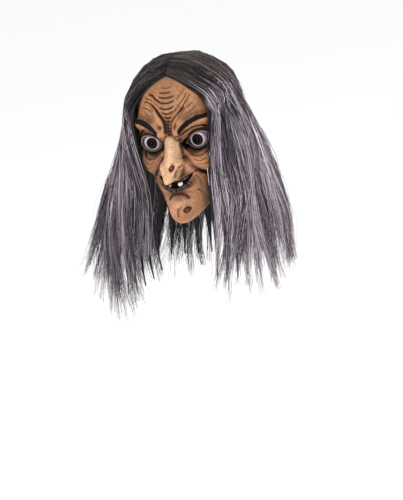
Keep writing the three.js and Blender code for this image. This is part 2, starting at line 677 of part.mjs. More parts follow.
// A lock as wide as the way to its neighbours, narrowing near the tip.
function buildLock(sideName, place) {
  const line = hairLine(sideName, place);
  const halfStep = 0.5 / (locksPerSide - 1);
  const first = Math.max(place - halfStep, 0);
  const last = Math.min(place + halfStep, 1);
  const before = hairLine(sideName, first);
  const after = hairLine(sideName, last);
  const overlap = lockOverlap * 2 * halfStep / (last - first);
  const steps = 11;
  const sides = 6;
  const rings = [];
  for (let i = 0; i <= steps; i += 1) {
    const t = i / steps;
    const point = line.getPoint(t);
    const along = line.getTangent(t);
    const tip = smoothStep((t - lockTip) / (1 - lockTip));
    const spread = after.getPoint(t).sub(before.getPoint(t));
    const across = spread.clone().addScaledVector(along, -spread.dot(along));
    const width = Math.max(overlap * across.length(), minLockWidth) * (1 - (1 - lockTipWidth) * tip);
    across.normalize();
    const up = along.clone().cross(across).normalize();
    const freely = 1 - lockThinning * smoothStep((t - 0.4) / 0.4);
    const fromFringe = fringeThickness + (1 - fringeThickness) * smoothStep(place / 0.2);
    const thick = lockThickness * freely * fromFringe * (1 - (1 - lockTipThickness) * tip);
    rings.push(Array.from({ length: sides }, (_, k) => {
      const turn = 2 * Math.PI * (k + 0.5) / sides;
      return point.clone()
        .addScaledVector(across, Math.cos(turn) * width / 2)
        .addScaledVector(up, -Math.sin(turn) * thick / 2);
    }));
  }
  return tubeSolid(rings);
}

// Fills the small pockets that are shut in where locks cross.
function fillPockets(solid) {
  return solid.decompose().filter((body) => body.volume() > 0).reduce((all, body) => all.add(body));
}

// One side of the hair: its locks fused along the parting, cut clear of the head and of the other side.
function buildHair(sideName, clearance) {
  const side = sideName === 'left' ? 1 : -1;
  let hair = buildLock(sideName, 0.02);
  for (let i = 1; i < locksPerSide; i += 1) {
    hair = hair.add(buildLock(sideName, 0.02 + 0.97 * i / (locksPerSide - 1)));
  }
  const reach = 4 * hairDrop;
  const halfSpace = new THREE.BoxGeometry(reach, reach, reach);
  halfSpace.translate(side * (reach / 2 + partingWidth / 2), 0, 0);
  const cut = hair.intersect(toSolid(halfSpace)).subtract(clearance).subtract(browTube(side, 2 * gap));
  return fillPockets(cut);
}

// The whole mask

const latex = () => new THREE.MeshStandardMaterial({ color: 0xb9835a, roughness: 0.55, metalness: 0 });
const eyeGloss = () => new THREE.MeshStandardMaterial({ color: 0xcfccd2, roughness: 0.12, metalness: 0 });
const enamel = () => new THREE.MeshStandardMaterial({ color: 0xece9df, roughness: 0.2, metalness: 0 });
const fuzz = () => new THREE.MeshStandardMaterial({ color: 0x1d1c1a, roughness: 0.95, metalness: 0 });
const greyHair = () => new THREE.MeshStandardMaterial({ color: 0x77707a, roughness: 0.7, metalness: 0 });

const mask = new THREE.Group();
mask.name = 'mask';

function place(name, solid, material, position = [0, 0, 0]) {
  const mesh = new THREE.Mesh(toGeometry(solid), material);
  mesh.name = name;
  mesh.position.set(...position);
  mask.add(mesh);
}

const clearance = headSolid(gap);
place('latex_head', buildHead(), latex());
place('eye_left', buildEye(), eyeGloss(), eyeCentre(1).toArray());
place('eye_right', buildEye(), eyeGloss(), eyeCentre(-1).toArray());
teeth.forEach((tooth) => place(tooth.name, buildTooth(tooth), enamel()));
place('eyebrow_left', browTube(1, 0).subtract(clearance), fuzz());
place('eyebrow_right', browTube(-1, 0).subtract(clearance), fuzz());
place('hair_left', buildHair('left', clearance), greyHair());
place('hair_right', buildHair('right', clearance), greyHair());

export default mask;
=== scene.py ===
import math

import bpy
import numpy as np
from mathutils import Matrix, Vector


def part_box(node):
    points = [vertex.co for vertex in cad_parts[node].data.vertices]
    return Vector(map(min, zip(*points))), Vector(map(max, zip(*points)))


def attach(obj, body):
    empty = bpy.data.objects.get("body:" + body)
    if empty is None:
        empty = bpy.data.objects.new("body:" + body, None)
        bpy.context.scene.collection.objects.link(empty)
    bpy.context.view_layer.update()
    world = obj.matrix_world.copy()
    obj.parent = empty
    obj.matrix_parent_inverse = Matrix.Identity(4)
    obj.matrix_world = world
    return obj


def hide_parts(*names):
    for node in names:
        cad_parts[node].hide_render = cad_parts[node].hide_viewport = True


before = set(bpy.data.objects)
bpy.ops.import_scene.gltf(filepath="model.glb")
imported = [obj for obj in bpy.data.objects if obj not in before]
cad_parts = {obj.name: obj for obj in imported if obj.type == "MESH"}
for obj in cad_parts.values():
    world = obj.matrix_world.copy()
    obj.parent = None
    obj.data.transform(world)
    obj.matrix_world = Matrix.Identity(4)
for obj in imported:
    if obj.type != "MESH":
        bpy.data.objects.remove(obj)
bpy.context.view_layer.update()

# The looks of a rubber hag mask with long parted hair. Sizes are millimetres until a mesh is made.
# The face looks along -Y, +Z is up, and the origin is the inside of the crown.
MM = 0.001
SEED = 7
FULL_TURN = 2 * math.pi

# View and studio, in metres
VIEW_BACK = (0.35475, -0.88843, 0.29129)
VIEW_RIGHT = (0.93294, 0.31589, -0.17273)
VIEW_AIM = (0.0952, -0.2818, -0.2385)
VIEW_DISTANCE = 3.0
LENS = 141.08
FACE_MIDDLE = (0, -0.06, -0.16)
FLOOR_Z = -0.95
FLOOR_HALF = 30

# Latex head, as in the solids
FACE_LENGTH = 252
HALF_HEAD = 79
FACE_REACH = 111
SKULL_REACH = 90
WALL = 2.4
GAP = 0.3
NOSE_REACH = 42
NOSE_HALF = 14.5
NOSE_HOOK = 6.4
NOSE_ROUND = 1.0
EYE_APART = 40
EYE_RADIUS = 21
EYE_SHELL = 2
EYE_WIDEST = 64
EYE_OPEN_WIDTH = 35
EYE_OPEN_HEIGHT = 23
EYE_TILT = 0.16
CORNER_PINCH = 0.4
LID_REACH = 7
LID_START = 2
EYE_DROP = 0.470
EYE_BACK = 0.492
MOUTH_WIDTH = 58
MOUTH_HEIGHT = 13
MOUTH_SMILE = 13
MOUTH_DROP = 0.722
MOUTH_DEPTH = 9
FOLD_FADE = 0.2
SIDE_FADE = 0.3

# Hair, as in the solids
HAIR_DROP = 428
HAIR_SPAN = 176
HAIR_LOFT = 17
HAIR_DEPTH = 100
LOCK_THICKNESS = 14

# Hair and fur that only the looks have
STRANDS = 3500
STRAND_STEPS = 15
STRANDS_PER_CLUMP = 26
BRIGHT_SHARE = 0.09
STRAY_SHARE = 0.09
STRAY_SWING = 4.0
FINE_SHARE = 0.4
FIBRE_SIDES = 3
UNDER_LOCKS = 18
UNDER_STEPS = 36
UNDER_SIDES = 12
BROW_FIBRES = 1200
BROW_STEPS = 4
BACKING_STEPS = 40
BACKING_SIDES = 10

# Latex and eyes that only the looks have
SKIN_TONE = (0.66, 0.64, 0.70)
FRONT_COLUMNS = 256
BACK_COLUMNS = 40
INNER_SKIP = 9
LOWER_LIP_DROP = 3.8
LIP_PLEATS = 13
CORNEA_BULGE = 0.9

# Head sections from the crown down, in shares of the sizes above
SECTION_KEYS = ("front", "front_drop", "half", "side", "side_drop", "back", "back_drop", "point", "rows")
SECTIONS = [
    (-0.27, 0.008, 0, -0.27, 0.008, 0.333, 0.008, 1, 8),
    (-0.02, -0.0095, 0.56, -0.16, 0.058, 0.70, 0.078, 1, 10),
    (0.235, -0.004, 0.84, 0, 0.18, 0.91, 0.18, 1, 11),
    (0.477, 0.032, 0.90, 0.07, 0.246, 0.98, 0.246, 1, 20),
    (0.658, 0.135, 0.95, 0.11, 0.30, 1.00, 0.325, 1, 27),
    (0.766, 0.254, 0.987, 0.12, 0.37, 1.00, 0.39, 1, 28),
    (0.82, 0.365, 1, 0.117, 0.43, 0.98, 0.445, 1, 28),
    (0.793, 0.468, 1, 0.09, 0.484, 0.94, 0.496, 1, 28),
    (0.829, 0.575, 0.975, 0.054, 0.55, 0.86, 0.548, 0.85, 24),
    (0.883, 0.655, 0.955, 0.027, 0.61, 0.79, 0.595, 0.95, 24),
    (0.91, 0.734, 0.935, 0, 0.663, 0.73, 0.64, 1.2, 22),
    (0.919, 0.813, 0.91, -0.027, 0.706, 0.69, 0.68, 1.75, 20),
    (1.0, 0.897, 0.89, -0.045, 0.742, 0.66, 0.714, 2.8, 16),
    (1.0, 0.964, 0.87, -0.054, 0.766, 0.64, 0.742, 3.8, 8),
    (0.865, 0.996, 0.85, -0.063, 0.786, 0.63, 0.762, 3.8, 6),
    (0.703, 1.0, 0.83, -0.072, 0.806, 0.62, 0.782, 3.4, 0),
]

# Swells of the face on both sides: X, drop, half width, half height and lift in shares.
# The wing crease is shallower than in the solids.
SWELLS = {
    "brow corner": (0.15, 0.40, 0.09, 0.028, 0.035),
    "frown channel": (0, 0.36, 0.06, 0.075, -0.036),
    "frown muscle": (0.21, 0.325, 0.12, 0.05, 0.040),
    "eye socket": (0.51, 0.475, 0.34, 0.083, -0.082),
    "cheekbone": (0.64, 0.585, 0.24, 0.052, 0.070),
    "gaunt cheek": (0.72, 0.69, 0.18, 0.055, -0.035),
    "muzzle": (0, 0.70, 0.36, 0.070, 0.058),
    "nose wing": (0.19, 0.598, 0.085, 0.030, 0.105),
    "wing crease": (0.285, 0.60, 0.04, 0.028, -0.006),
    "lower lip": (0, 0.768, 0.26, 0.014, 0.034),
    "chin ball": (0, 0.905, 0.20, 0.052, 0.062),
}

# Long folds of the face on both sides: width, lift and a path, in shares.
# The chin crease is shallower than in the solids.
FOLDS = {
    "brow ridge": (0.034, 0.078, [(0.10, 0.418), (0.18, 0.402), (0.34, 0.368), (0.54, 0.345), (0.74, 0.342),
                                  (0.88, 0.365)]),
    "frown ridge": (0.016, 0.026, [(0.29, 0.25), (0.16, 0.31), (0.08, 0.35), (0.11, 0.41)]),
    "eye bag": (0.015, 0.026, [(0.28, 0.515), (0.38, 0.552), (0.53, 0.565), (0.71, 0.548), (0.81, 0.508)]),
    "smile fold": (0.014, -0.062, [(0.20, 0.552), (0.29, 0.585), (0.38, 0.628), (0.52, 0.672), (0.62, 0.70),
                                   (0.67, 0.76)]),
    "cheek roll": (0.028, 0.034, [(0.31, 0.556), (0.43, 0.598), (0.58, 0.636), (0.72, 0.668)]),
    "chin crease": (0.013, -0.013, [(0, 0.790), (0.08, 0.794), (0.17, 0.810), (0.23, 0.836)]),
}

# Nose from the bridge down: drop, how far out, how wide
NOSE = np.array([
    (0.385, 0, 1.05), (0.41, 0.07, 1.05), (0.44, 0.22, 1.05), (0.48, 0.41, 1.07), (0.525, 0.62, 1.12),
    (0.57, 0.81, 1.18), (0.61, 0.94, 1.2), (0.638, 1.0, 1.1), (0.656, 0.97, 0.98), (0.672, 0.78, 0.88),
    (0.688, 0.33, 0.78), (0.708, 0, 0.7),
])

# Fine creases in millimetres: depth, width, how dark the painted shade in them is, the path in X and Z, and
# whether both sides have it.
# Left and right are the wearer's.
CREASES = [
    ("right frown line", 1.8, 1.5, 0.8, [(-33, -38), (-24, -40), (-19, -45), (-11, -50)], False),
    ("right frown fold", 2.4, 1.7, 0.95,
     [(-30, -51), (-20, -60), (-13, -68), (-7, -76), (-4, -86), (-5, -100)], False),
    ("left frown fold", 2.2, 1.7, 0.9,
     [(30, -61), (25, -65), (19, -70), (13, -75), (8, -82), (6, -93), (7, -101), (14, -105.5)], False),
    ("left frown nick", 1.0, 1.0, 0.9, [(27, -62.5), (22, -67.5)], False),
    ("right brow wrinkle 1", 0.7, 0.9, 0.35, [(-40, -44), (-29, -46), (-24, -50)], False),
    ("right brow wrinkle 2", 0.8, 1.0, 0.4, [(-43, -50), (-32, -51), (-23, -58)], False),
    ("right brow wrinkle 3", 0.8, 1.0, 0.35, [(-48, -59), (-35, -61), (-28, -65)], False),
    ("left brow wrinkle 1", 0.7, 0.9, 0.3, [(34, -41), (27, -51), (18, -59)], False),
    ("left brow wrinkle 2", 0.8, 0.9, 0.35, [(36, -49), (28, -58), (22, -65)], False),
    ("left brow wrinkle 3", 0.7, 0.9, 0.3, [(42, -57), (32, -63), (25, -70), (20, -77)], False),
    ("upper lid crease", 2.2, 1.5, 1.0,
     [(9, -106.5), (20, -104.5), (30, -99), (40, -95), (50, -95), (58, -100), (64, -109)], True),
    ("lower lid crease", 0.9, 1.1, 0.75, [(19, -122), (26, -130), (38, -134), (51, -131), (59, -123)], True),
    ("bag crease", 1.5, 1.7, 0.55,
     [(15, -118), (22, -131), (35, -140), (48, -141), (58, -133), (65, -118)], True),
    ("smile fold core", 0.9, 1.7, 0.85,
     [(15.8, -139), (22.9, -147.4), (30, -158.3), (41, -169.3), (49, -176.4), (53, -191.5)], True),
    ("chin crease core", 1.0, 1.0, 0.6,
     [(-17, -209), (-13.4, -204), (-6.3, -200), (0, -199), (6.3, -200), (12, -203)], False),
    ("chin crease end", 0.6, 1.2, 0.5, [(-17, -210), (-12, -203)], False),
    ("chin cleft", 1.0, 1.0, 0.55, [(0, -219), (2, -223), (1, -229), (2, -235)], False),
    ("chin nick", 0.8, 0.8, 0.5, [(6, -218), (3, -224)], False),
    ("nostril", 1.6, 0.9, 0.75, [(16, -153.2), (16.8, -151), (18.8, -150.2), (21, -151.2)], True),
    ("mouth wrinkle 1", 0.3, 1.3, 0.16, [(33, -171), (37, -181), (36, -194)], True),
    ("mouth wrinkle 2", 0.3, 1.4, 0.16, [(38, -172), (43, -184), (42, -200)], True),
    ("mouth wrinkle 3", 0.3, 1.3, 0.16, [(45, -182), (48, -194), (46, -208)], True),
    ("jaw wrinkle", 0.3, 1.4, 0.16, [(30, -196), (35, -208), (32, -222)], True),
    ("cheek wrinkle 1", 0.6, 1.1, 0.18, [(34, -146), (44, -150), (54, -148)], True),
    ("cheek wrinkle 2", 0.5, 1.1, 0.15, [(38, -152), (48, -157), (58, -155)], True),
    ("crow foot 1", 0.6, 0.8, 0.4, [(60, -113), (65, -112), (69, -108)], True),
    ("crow foot 2", 0.6, 0.8, 0.4, [(60, -119), (65, -121), (69, -121)], True),
    ("forehead line 1", 0.5, 0.8, 0.25, [(30, -34), (24, -42), (17, -50)], True),
    ("forehead line 2", 0.5, 0.8, 0.25, [(38, -43), (33, -52), (26, -62)], True),
    ("forehead line 3", 0.5, 0.8, 0.25, [(46, -62), (40, -68), (31, -73)], True),
    ("crown line", 0.5, 0.9, 0.2, [(-9, -28), (0, -30), (10, -28)], False),
    ("nose tip crease", 0.6, 1.2, 0.25, [(10, -166), (12, -159), (14.5, -153)], True),
    ("mouth corner", 1.2, 1.1, 0.8, [(28, -168), (32, -166), (35, -168)], True),
]

# Stacked wrinkles between the brows: height, left end, right end, rise of the ends and depth, which also sets
# how dark their painted shade is
STACK = [
    (-36.5, -12, 8, 0.5, 0.9), (-44.5, -13, 14, 2.5, 1.4), (-52.5, -14, 14, 3.5, 1.6),
    (-61.5, -13, 13, 4.0, 1.6), (-69, -9, 11, 3.5, 1.4), (-75.5, -6, 9, 3.0, 1.2),
    (-81.5, -4, 6.5, 2.5, 1.0), (-87, -3.5, 5.5, 2.0, 0.8), (-92.3, -3, 4.5, 1.5, 0.7),
    (-97.5, -3, 4, 1.0, 0.7), (-103, -3, 4.5, 0.7, 0.8),
]

# Warts, flatter than in the solids: X, Z, half width, half height and how far they stand out
WARTS = [(7, -149.8, 3.5, 3.1, 2.6), (14.5, -225, 4.2, 3.4, 2.6)]

# Middle line of an eyebrow: shares of the half head width and of the face length
BROW_PATH = np.array([(0.20, 0.386), (0.34, 0.352), (0.53, 0.327), (0.72, 0.323)])

# Painted patches in the order they go on: X, Z, half width, half height, colour, strength
# and whether both sides have them
UPPER_PATCHES = {
    "mid forehead": (0, -34, 26, 24, "#86603f", 0.45, True),
    "right cheek shadow": (-46, -154, 16, 18, "#5e4028", 0.65, False),
    "inner eye hollow": (22, -92, 14, 9, "#b9825e", 0.5, True),
    "nose root": (14, -98, 7, 8, "#a8714f", 0.4, True),
    "under the brow": (34, -78, 14, 12, "#8e6446", 0.4, True),
    # Painted shadows round the eye: under it, in its inner bag and at its outer corner
    "painted shadow under the eye": (42, -132, 22, 16, "#6a4c36", 0.55, True),
    "painted shadow in the inner eye bag": (24, -126, 9, 14, "#5a3f2c", 0.45, True),
    "painted shadow at the outer eye corner": (58, -118, 10, 18, "#4f3826", 0.6, True),
    "cheekbone": (50, -155, 14, 10, "#c48a5a", 0.5, True),
}
LOWER_PATCHES = {
    "nose wing": (22, -160, 8, 6, "#c89068", 0.5, True),
    # Painted shadow under the nose
    "painted shadow under the nose": (16, -168, 8, 3, "#8a5236", 0.4, True),
    "chin ball": (3, -212, 15, 9, "#e8ba8c", 0.75, True),
    # Painted shadow under the chin
    "painted shadow under the chin": (0, -236, 18, 9, "#94643f", 0.55, True),
    "right of the chin": (-12, -215, 9, 12, "#cf9a80", 0.5, False),
    "jaw shadow": (46, -203, 15, 28, "#6f5038", 0.65, True),
    "mouth corner shadow": (40, -188, 9, 12, "#7a5438", 0.45, True),
    "beside the chin": (26, -200, 8, 12, "#c98c58", 0.5, True),
    "outer cheek shadow": (60, -152, 10, 20, "#5e4028", 0.55, True),
}
# Lighter paint on the nose wing over the painted hollow shade: a painted highlight on the wing's edge and
# skin colour beside it
NOSE_WING_LIGHT_PATCHES = {
    "nose wing edge": (22.5, -155, 5, 8, "#dba981", 0.8, True),
    "beside the nose wing": (27, -163, 7, 5, "#b08460", 0.7, True),
}

# Edge of the dark scalp on both sides, X and Z in millimetres
HAIRLINE = [(0, -7), (22, -17), (40, -33), (52, -54), (62, -80), (70, -120), (70, -160), (60, -205),
            (45, -235)]

# Hair guides from the forehead round to the nape, as in the solids
GUIDE_KEYS = ("root", "hang", "tip_x", "tip_y", "tip_z", "bow")
GUIDES = {
    "left": np.array([
        (50, 42, 0.09, -0.75, 0.93, 0.0), (66, 62, 0.33, -0.62, 0.95, 0.5),
        (82, 84, 0.62, -0.42, 0.90, 1.5), (98, 110, 0.76, 0.0, 0.84, 1.6),
        (114, 140, 0.56, 0.72, 0.92, 1.0), (130, 172, 0.05, 0.98, 0.95, 0.8),
    ]),
    "right": np.array([
        (50, 46, 0.30, -0.72, 0.86, 0.4), (66, 64, 0.60, -0.66, 0.96, 0.8),
        (82, 84, 0.90, -0.52, 1.00, 1.4), (98, 108, 1.26, -0.22, 0.84, 1.4),
        (114, 138, 0.84, 0.66, 0.93, 1.0), (130, 172, 0.16, 0.98, 0.96, 0.8),
    ]),
}
# How far the hair lies off the scalp on its way down, in shares of HAIR_LOFT
LOFTS = {"root": 0.15, "first": 0.15, "middle": 0.4, "second": 0.5, "leave": 0.5}


# Small helpers

def smooth(t):
    t = np.clip(t, 0, 1)
    return t * t * (3 - 2 * t)


def bell(d):
    return np.exp(-d * d)


def unit(v):
    return v / np.maximum(np.linalg.norm(v, axis=-1, keepdims=True), 1e-9)


def mix(a, b, t):
    return a + (b - a) * t


def ring_angles(sides):
    return FULL_TURN * np.arange(sides) / sides


def linear(code):
    """A hex colour as linear red, green and blue."""
    values = np.array([int(code[i:i + 2], 16) / 255 for i in (1, 3, 5)])
    return np.where(values <= 0.04045, values / 12.92, ((values + 0.055) / 1.055) ** 2.4)


def read_rows(rows, t):
    """A smooth curve through the rows of a table, read at row numbers t."""
    rows = np.asarray(rows, float)
    t = np.asarray(t, float)
    i = np.clip(np.floor(t).astype(int), 0, len(rows) - 2)
    f = (t - i)[..., None] if rows.ndim > 1 else t - i
    a, b, c, d = (rows[np.clip(i + k, 0, len(rows) - 1)] for k in (-1, 0, 1, 2))
    bend = (2 * a - 5 * b + 4 * c - d) * f ** 2 + (3 * b - a - 3 * c + d) * f ** 3
    return b + 0.5 * ((c - a) * f + bend)


def path_distance(x, z, path):
    """Distance to a path and the share of the way along it, both arrays like x."""
    points = np.asarray(path, float)
    best = np.full(x.shape, 1e9)
    along = np.zeros(x.shape)
    for i in range(len(points) - 1):
        px, pz = points[i]
        dx, dz = points[i + 1] - points[i]
        t = np.clip(((x - px) * dx + (z - pz) * dz) / (dx * dx + dz * dz), 0, 1)
        distance = np.hypot(x - px - t * dx, z - pz - t * dz)
        nearer = distance < best
        best = np.where(nearer, distance, best)
        along = np.where(nearer, (i + t) / (len(points) - 1), along)
    return best, along


def rounded(path, steps=6):
    """A path with its corners rounded by a curve through its points."""
    t = np.linspace(0, len(path) - 1, (len(path) - 1) * steps + 1)
    return read_rows(path, t)


# The face surface, built up the way the solids are

SECTION_ROWS = np.array(SECTIONS, float)


def head_point(around, row):
    s = {key: read_rows(SECTION_ROWS[:, i], row) for i, key in enumerate(SECTION_KEYS)}
    cosine = np.cos(around)
    side_y = -s["side"] * FACE_REACH
    side_z = -s["side_drop"] * FACE_LENGTH
    share = np.where(cosine >= 0, np.maximum(cosine, 0) ** s["point"], -cosine)
    end_y = np.where(cosine >= 0, -s["front"] * FACE_REACH, s["back"] * SKULL_REACH)
    end_z = np.where(cosine >= 0, -s["front_drop"], -s["back_drop"]) * FACE_LENGTH
    x = s["half"] * HALF_HEAD * np.sin(around)
    return np.stack([x, side_y + (end_y - side_y) * share, side_z + (end_z - side_z) * share], -1)


def face_lift(x, z):
    out = np.abs(x)
    lift = np.zeros(x.shape)
    for place_x, drop, wide, tall, height in SWELLS.values():
        across = (out - place_x * HALF_HEAD) / (wide * HALF_HEAD)
        down = (z + drop * FACE_LENGTH) / (tall * FACE_LENGTH)
        lift += height * FACE_REACH * bell(across) * bell(down)
    for wide, height, path in FOLDS.values():
        placed = [(px * HALF_HEAD, -drop * FACE_LENGTH) for px, drop in path]
        distance, along = path_distance(out, z, placed)
        from_end = 1 - along if path[0][0] == 0 else np.minimum(along, 1 - along)
        ends = np.sqrt(np.clip(from_end / FOLD_FADE, 0, 1))
        lift += height * FACE_REACH * bell(distance / (wide * FACE_LENGTH)) * ends
    return lift


def read_nose(column, drop):
    """A curve through the nose profile that never swings past its rows."""
    place, value = NOSE[:, 0], NOSE[:, column]
    slope = np.diff(value) / np.diff(place)
    tangent = np.zeros(len(value))
    same_way = slope[:-1] * slope[1:] > 0
    total = np.where(same_way, slope[:-1] + slope[1:], 1)
    tangent[1:-1] = np.where(same_way, 2 * slope[:-1] * slope[1:] / total, 0)
    i = np.clip(np.searchsorted(place, drop) - 1, 0, len(place) - 2)
    span = place[i + 1] - place[i]
    t = np.clip((drop - place[i]) / span, 0, 1)
    return ((2 * t ** 3 - 3 * t ** 2 + 1) * value[i] + (t ** 3 - 2 * t ** 2 + t) * span * tangent[i]
            + (3 * t ** 2 - 2 * t ** 3) * value[i + 1] + (t ** 3 - t ** 2) * span * tangent[i + 1])


def nose_lift(x, z):
    drop = -z / FACE_LENGTH
    across = np.abs(x) / (read_nose(2, drop) * NOSE_HALF)
    lift = NOSE_REACH * np.maximum(read_nose(1, drop), 0) * np.maximum(1 - across ** 2, 0) ** NOSE_ROUND
    return np.where((drop > NOSE[0, 0]) & (drop < NOSE[-1, 0]), lift, 0)


def eye_centre(side):
    return np.array([side * EYE_APART, -EYE_BACK * FACE_REACH, -EYE_DROP * FACE_LENGTH])


def inside_eye_opening(x, z):
    """Above 0 inside the eye opening and below 0 outside it."""
    across = np.abs(x) - EYE_APART
    pinch = 1 - CORNER_PINCH * np.clip(-across / (EYE_OPEN_WIDTH / 2), 0, 1) ** 2
    up = (z + EYE_DROP * FACE_LENGTH - EYE_TILT * across) / pinch
    return (1 - np.hypot(across / (EYE_OPEN_WIDTH / 2), up / (EYE_OPEN_HEIGHT / 2))) * EYE_OPEN_HEIGHT / 2


def hug_eye(points, clearance):
    """Lays the lids over the eye's dome."""
    points = points.copy()
    radius = EYE_RADIUS + clearance
    for side in (-1, 1):
        centre = eye_centre(side)
        near = np.sign(points[..., 0] + 1e-9) == side
        flat = np.hypot(points[..., 0] - centre[0], points[..., 2] - centre[2])
        over = near & (flat < radius)
        lid = inside_eye_opening(points[..., 0], points[..., 2])
        share = np.where(over, smooth((lid + LID_REACH + LID_START) / LID_REACH), 0)
        lid_y = centre[1] - np.sqrt(np.maximum(radius ** 2 - flat ** 2, 0))
        points[..., 1] += (lid_y - points[..., 1]) * share
        away = points - centre
        length = np.linalg.norm(away, axis=-1, keepdims=True)
        pushed = centre + away / np.maximum(length, 1e-9) * radius
        points = np.where(near[..., None] & (length < radius), pushed, points)
    return points


def way_out(surface, around, row, step):
    """The way a surface faces, from places a small step to each side."""
    across = surface(around + step, row) - surface(around - step, row)
    down = surface(around, row + step) - surface(around, row - step)
    return unit(np.cross(down, across))


def face_and_nose(around, row):
    """The mask's outer surface without its finest creases, and how far the nose lifts it."""
    around, row = np.broadcast_arrays(around, row)
    point = head_point(around, row)
    normal = way_out(head_point, around, row, 0.002)
    x, z = point[..., 0], point[..., 2]
    lifted = point + normal * (face_lift(x, z) * smooth(np.cos(around) / SIDE_FADE))[..., None]
    lifted = hug_eye(lifted, GAP + WALL)
    nose = nose_lift(x, z)
    lifted[..., 1] -= nose
    lifted[..., 2] -= NOSE_HOOK * (nose / NOSE_REACH) ** 2
    on_face = ((np.cos(around) > 0) & (row >= 1))[..., None]
    return np.where(on_face, lifted, point), np.where(on_face[..., 0], nose, 0)


def face_point(around, row):
    return face_and_nose(around, row)[0]


def face_at(x, drop):
    """The place on the face in front of x and drop, and the way it faces there."""
    low, high = np.full(np.shape(x), 2.0), np.full(np.shape(x), len(SECTIONS) - 2.0)
    for _ in range(30):
        row = (low + high) / 2
        half = read_rows(SECTION_ROWS[:, 2], row) * HALF_HEAD
        around = np.arcsin(np.clip(x / half, -1, 1))
        above = head_point(around, row)[..., 2] > -drop * FACE_LENGTH
        low = np.where(above, row, low)
        high = np.where(above, high, row)
    return face_point(around, row), way_out(face_point, around, row, 0.02)


# Meshes

def new_piece(name, points, quads=(), triangles=(), paint=None, gloss=None):
    """A smooth mesh in metres from points in millimetres, with its colour and gloss at each point."""
    quads = np.asarray(quads, dtype=np.int32).reshape(-1, 4)
    triangles = np.asarray(triangles, dtype=np.int32).reshape(-1, 3)
    mesh = bpy.data.meshes.new(name)
    mesh.vertices.add(len(points))
    mesh.vertices.foreach_set("co", (np.asarray(points) * MM).astype(np.float32).ravel())
    corners = np.concatenate([quads.ravel(), triangles.ravel()])
    starts = np.concatenate([np.arange(len(quads)) * 4, len(quads) * 4 + np.arange(len(triangles)) * 3])
    mesh.loops.add(len(corners))
    mesh.loops.foreach_set("vertex_index", corners)
    mesh.polygons.add(len(starts))
    mesh.polygons.foreach_set("loop_start", starts.astype(np.int32))
    mesh.update(calc_edges=True)
    mesh.polygons.foreach_set("use_smooth", np.ones(len(starts), dtype=bool))
    if paint is not None:
        colour = np.ones((len(points), 4), np.float32)
        colour[:, :3] = paint
        layer = mesh.color_attributes.new("paint", "FLOAT_COLOR", "POINT")
        layer.data.foreach_set("color", colour.ravel())
    if gloss is not None:
        layer = mesh.attributes.new("gloss", "FLOAT", "POINT")
        layer.data.foreach_set("value", np.asarray(gloss, np.float32).ravel())
    piece = bpy.data.objects.new(name, mesh)
    bpy.context.scene.collection.objects.link(piece)
    return piece


def grid_quads(rows, columns, first=0, closed=True):
    """Quads of a grid of points whose columns run round."""
    r = np.arange(rows - 1)[:, None] * columns
    c = np.arange(columns if closed else columns - 1)[None, :]
    n = (c + 1) % columns
    quads = np.stack([r + c, r + columns + c, r + columns + n, r + n], -1)
    return quads.reshape(-1, 4) + first


def fan(middle, ring):
    ring = np.asarray(ring)
    return np.stack([np.full(len(ring), middle), ring, np.roll(ring, -1)], -1)


def tube_mesh(rings, ends, first=0):
    """A closed tube through rings of points, with a point in the middle of each end."""
    steps, sides = rings.shape[:2]
    last = first + steps * sides
    points = np.concatenate([rings.reshape(-1, 3), ends])
    caps = np.concatenate([fan(last, first + np.arange(sides)),
                           fan(last + 1, last - sides + np.arange(sides))[:, ::-1]])
    return points, grid_quads(steps, sides, first), caps


# Materials

def new_material(name, roughness, coat=0.0, coat_roughness=0.1):
    """A material that takes its colour from the paint on the mesh."""
    material = bpy.data.materials.new(name)
    material.use_nodes = True
    nodes = material.node_tree.nodes
    shader = nodes["Principled BSDF"]
    shader.inputs["Roughness"].default_value = roughness
    shader.inputs["Coat Weight"].default_value = coat
    shader.inputs["Coat Roughness"].default_value = coat_roughness
    paint = nodes.new("ShaderNodeAttribute")
    paint.attribute_name = "paint"
    return material, material.node_tree, shader, paint


def noise_node(tree, vector, scale, detail, roughness=0.55):
    node = tree.nodes.new("ShaderNodeTexNoise")
    node.inputs["Scale"].default_value = scale
    node.inputs["Detail"].default_value = detail
    node.inputs["Roughness"].default_value = roughness
    tree.links.new(vector, node.inputs["Vector"])
    return node


def remap(tree, value, low, high):
    node = tree.nodes.new("ShaderNodeMapRange")
    node.inputs["From Min"].default_value = 0.3
    node.inputs["From Max"].default_value = 0.7
    node.inputs["To Min"].default_value = low
    node.inputs["To Max"].default_value = high
    tree.links.new(value, node.inputs["Value"])
    return node.outputs["Result"]


def times(tree, colour, factor):
    node = tree.nodes.new("ShaderNodeMix")
    node.data_type = "RGBA"
    node.blend_type = "MULTIPLY"
    node.inputs["Factor"].default_value = 1
    tree.links.new(colour, node.inputs["A"])
    tree.links.new(factor, node.inputs["B"])
    return node.outputs["Result"]


def bump(tree, shader, height, strength, distance):
    node = tree.nodes.new("ShaderNodeBump")
    node.inputs["Strength"].default_value = strength
    node.inputs["Distance"].default_value = distance
    tree.links.new(height, node.inputs["Height"])
    tree.links.new(node.outputs["Normal"], shader.inputs["Normal"])


def object_place(tree):
    return tree.nodes.new("ShaderNodeTexCoord").outputs["Object"]


def vary(tree, colour, noise, low, high):
    """The colour made darker and lighter by a noise."""
    return times(tree, colour, remap(tree, noise.outputs["Fac"], low, high))


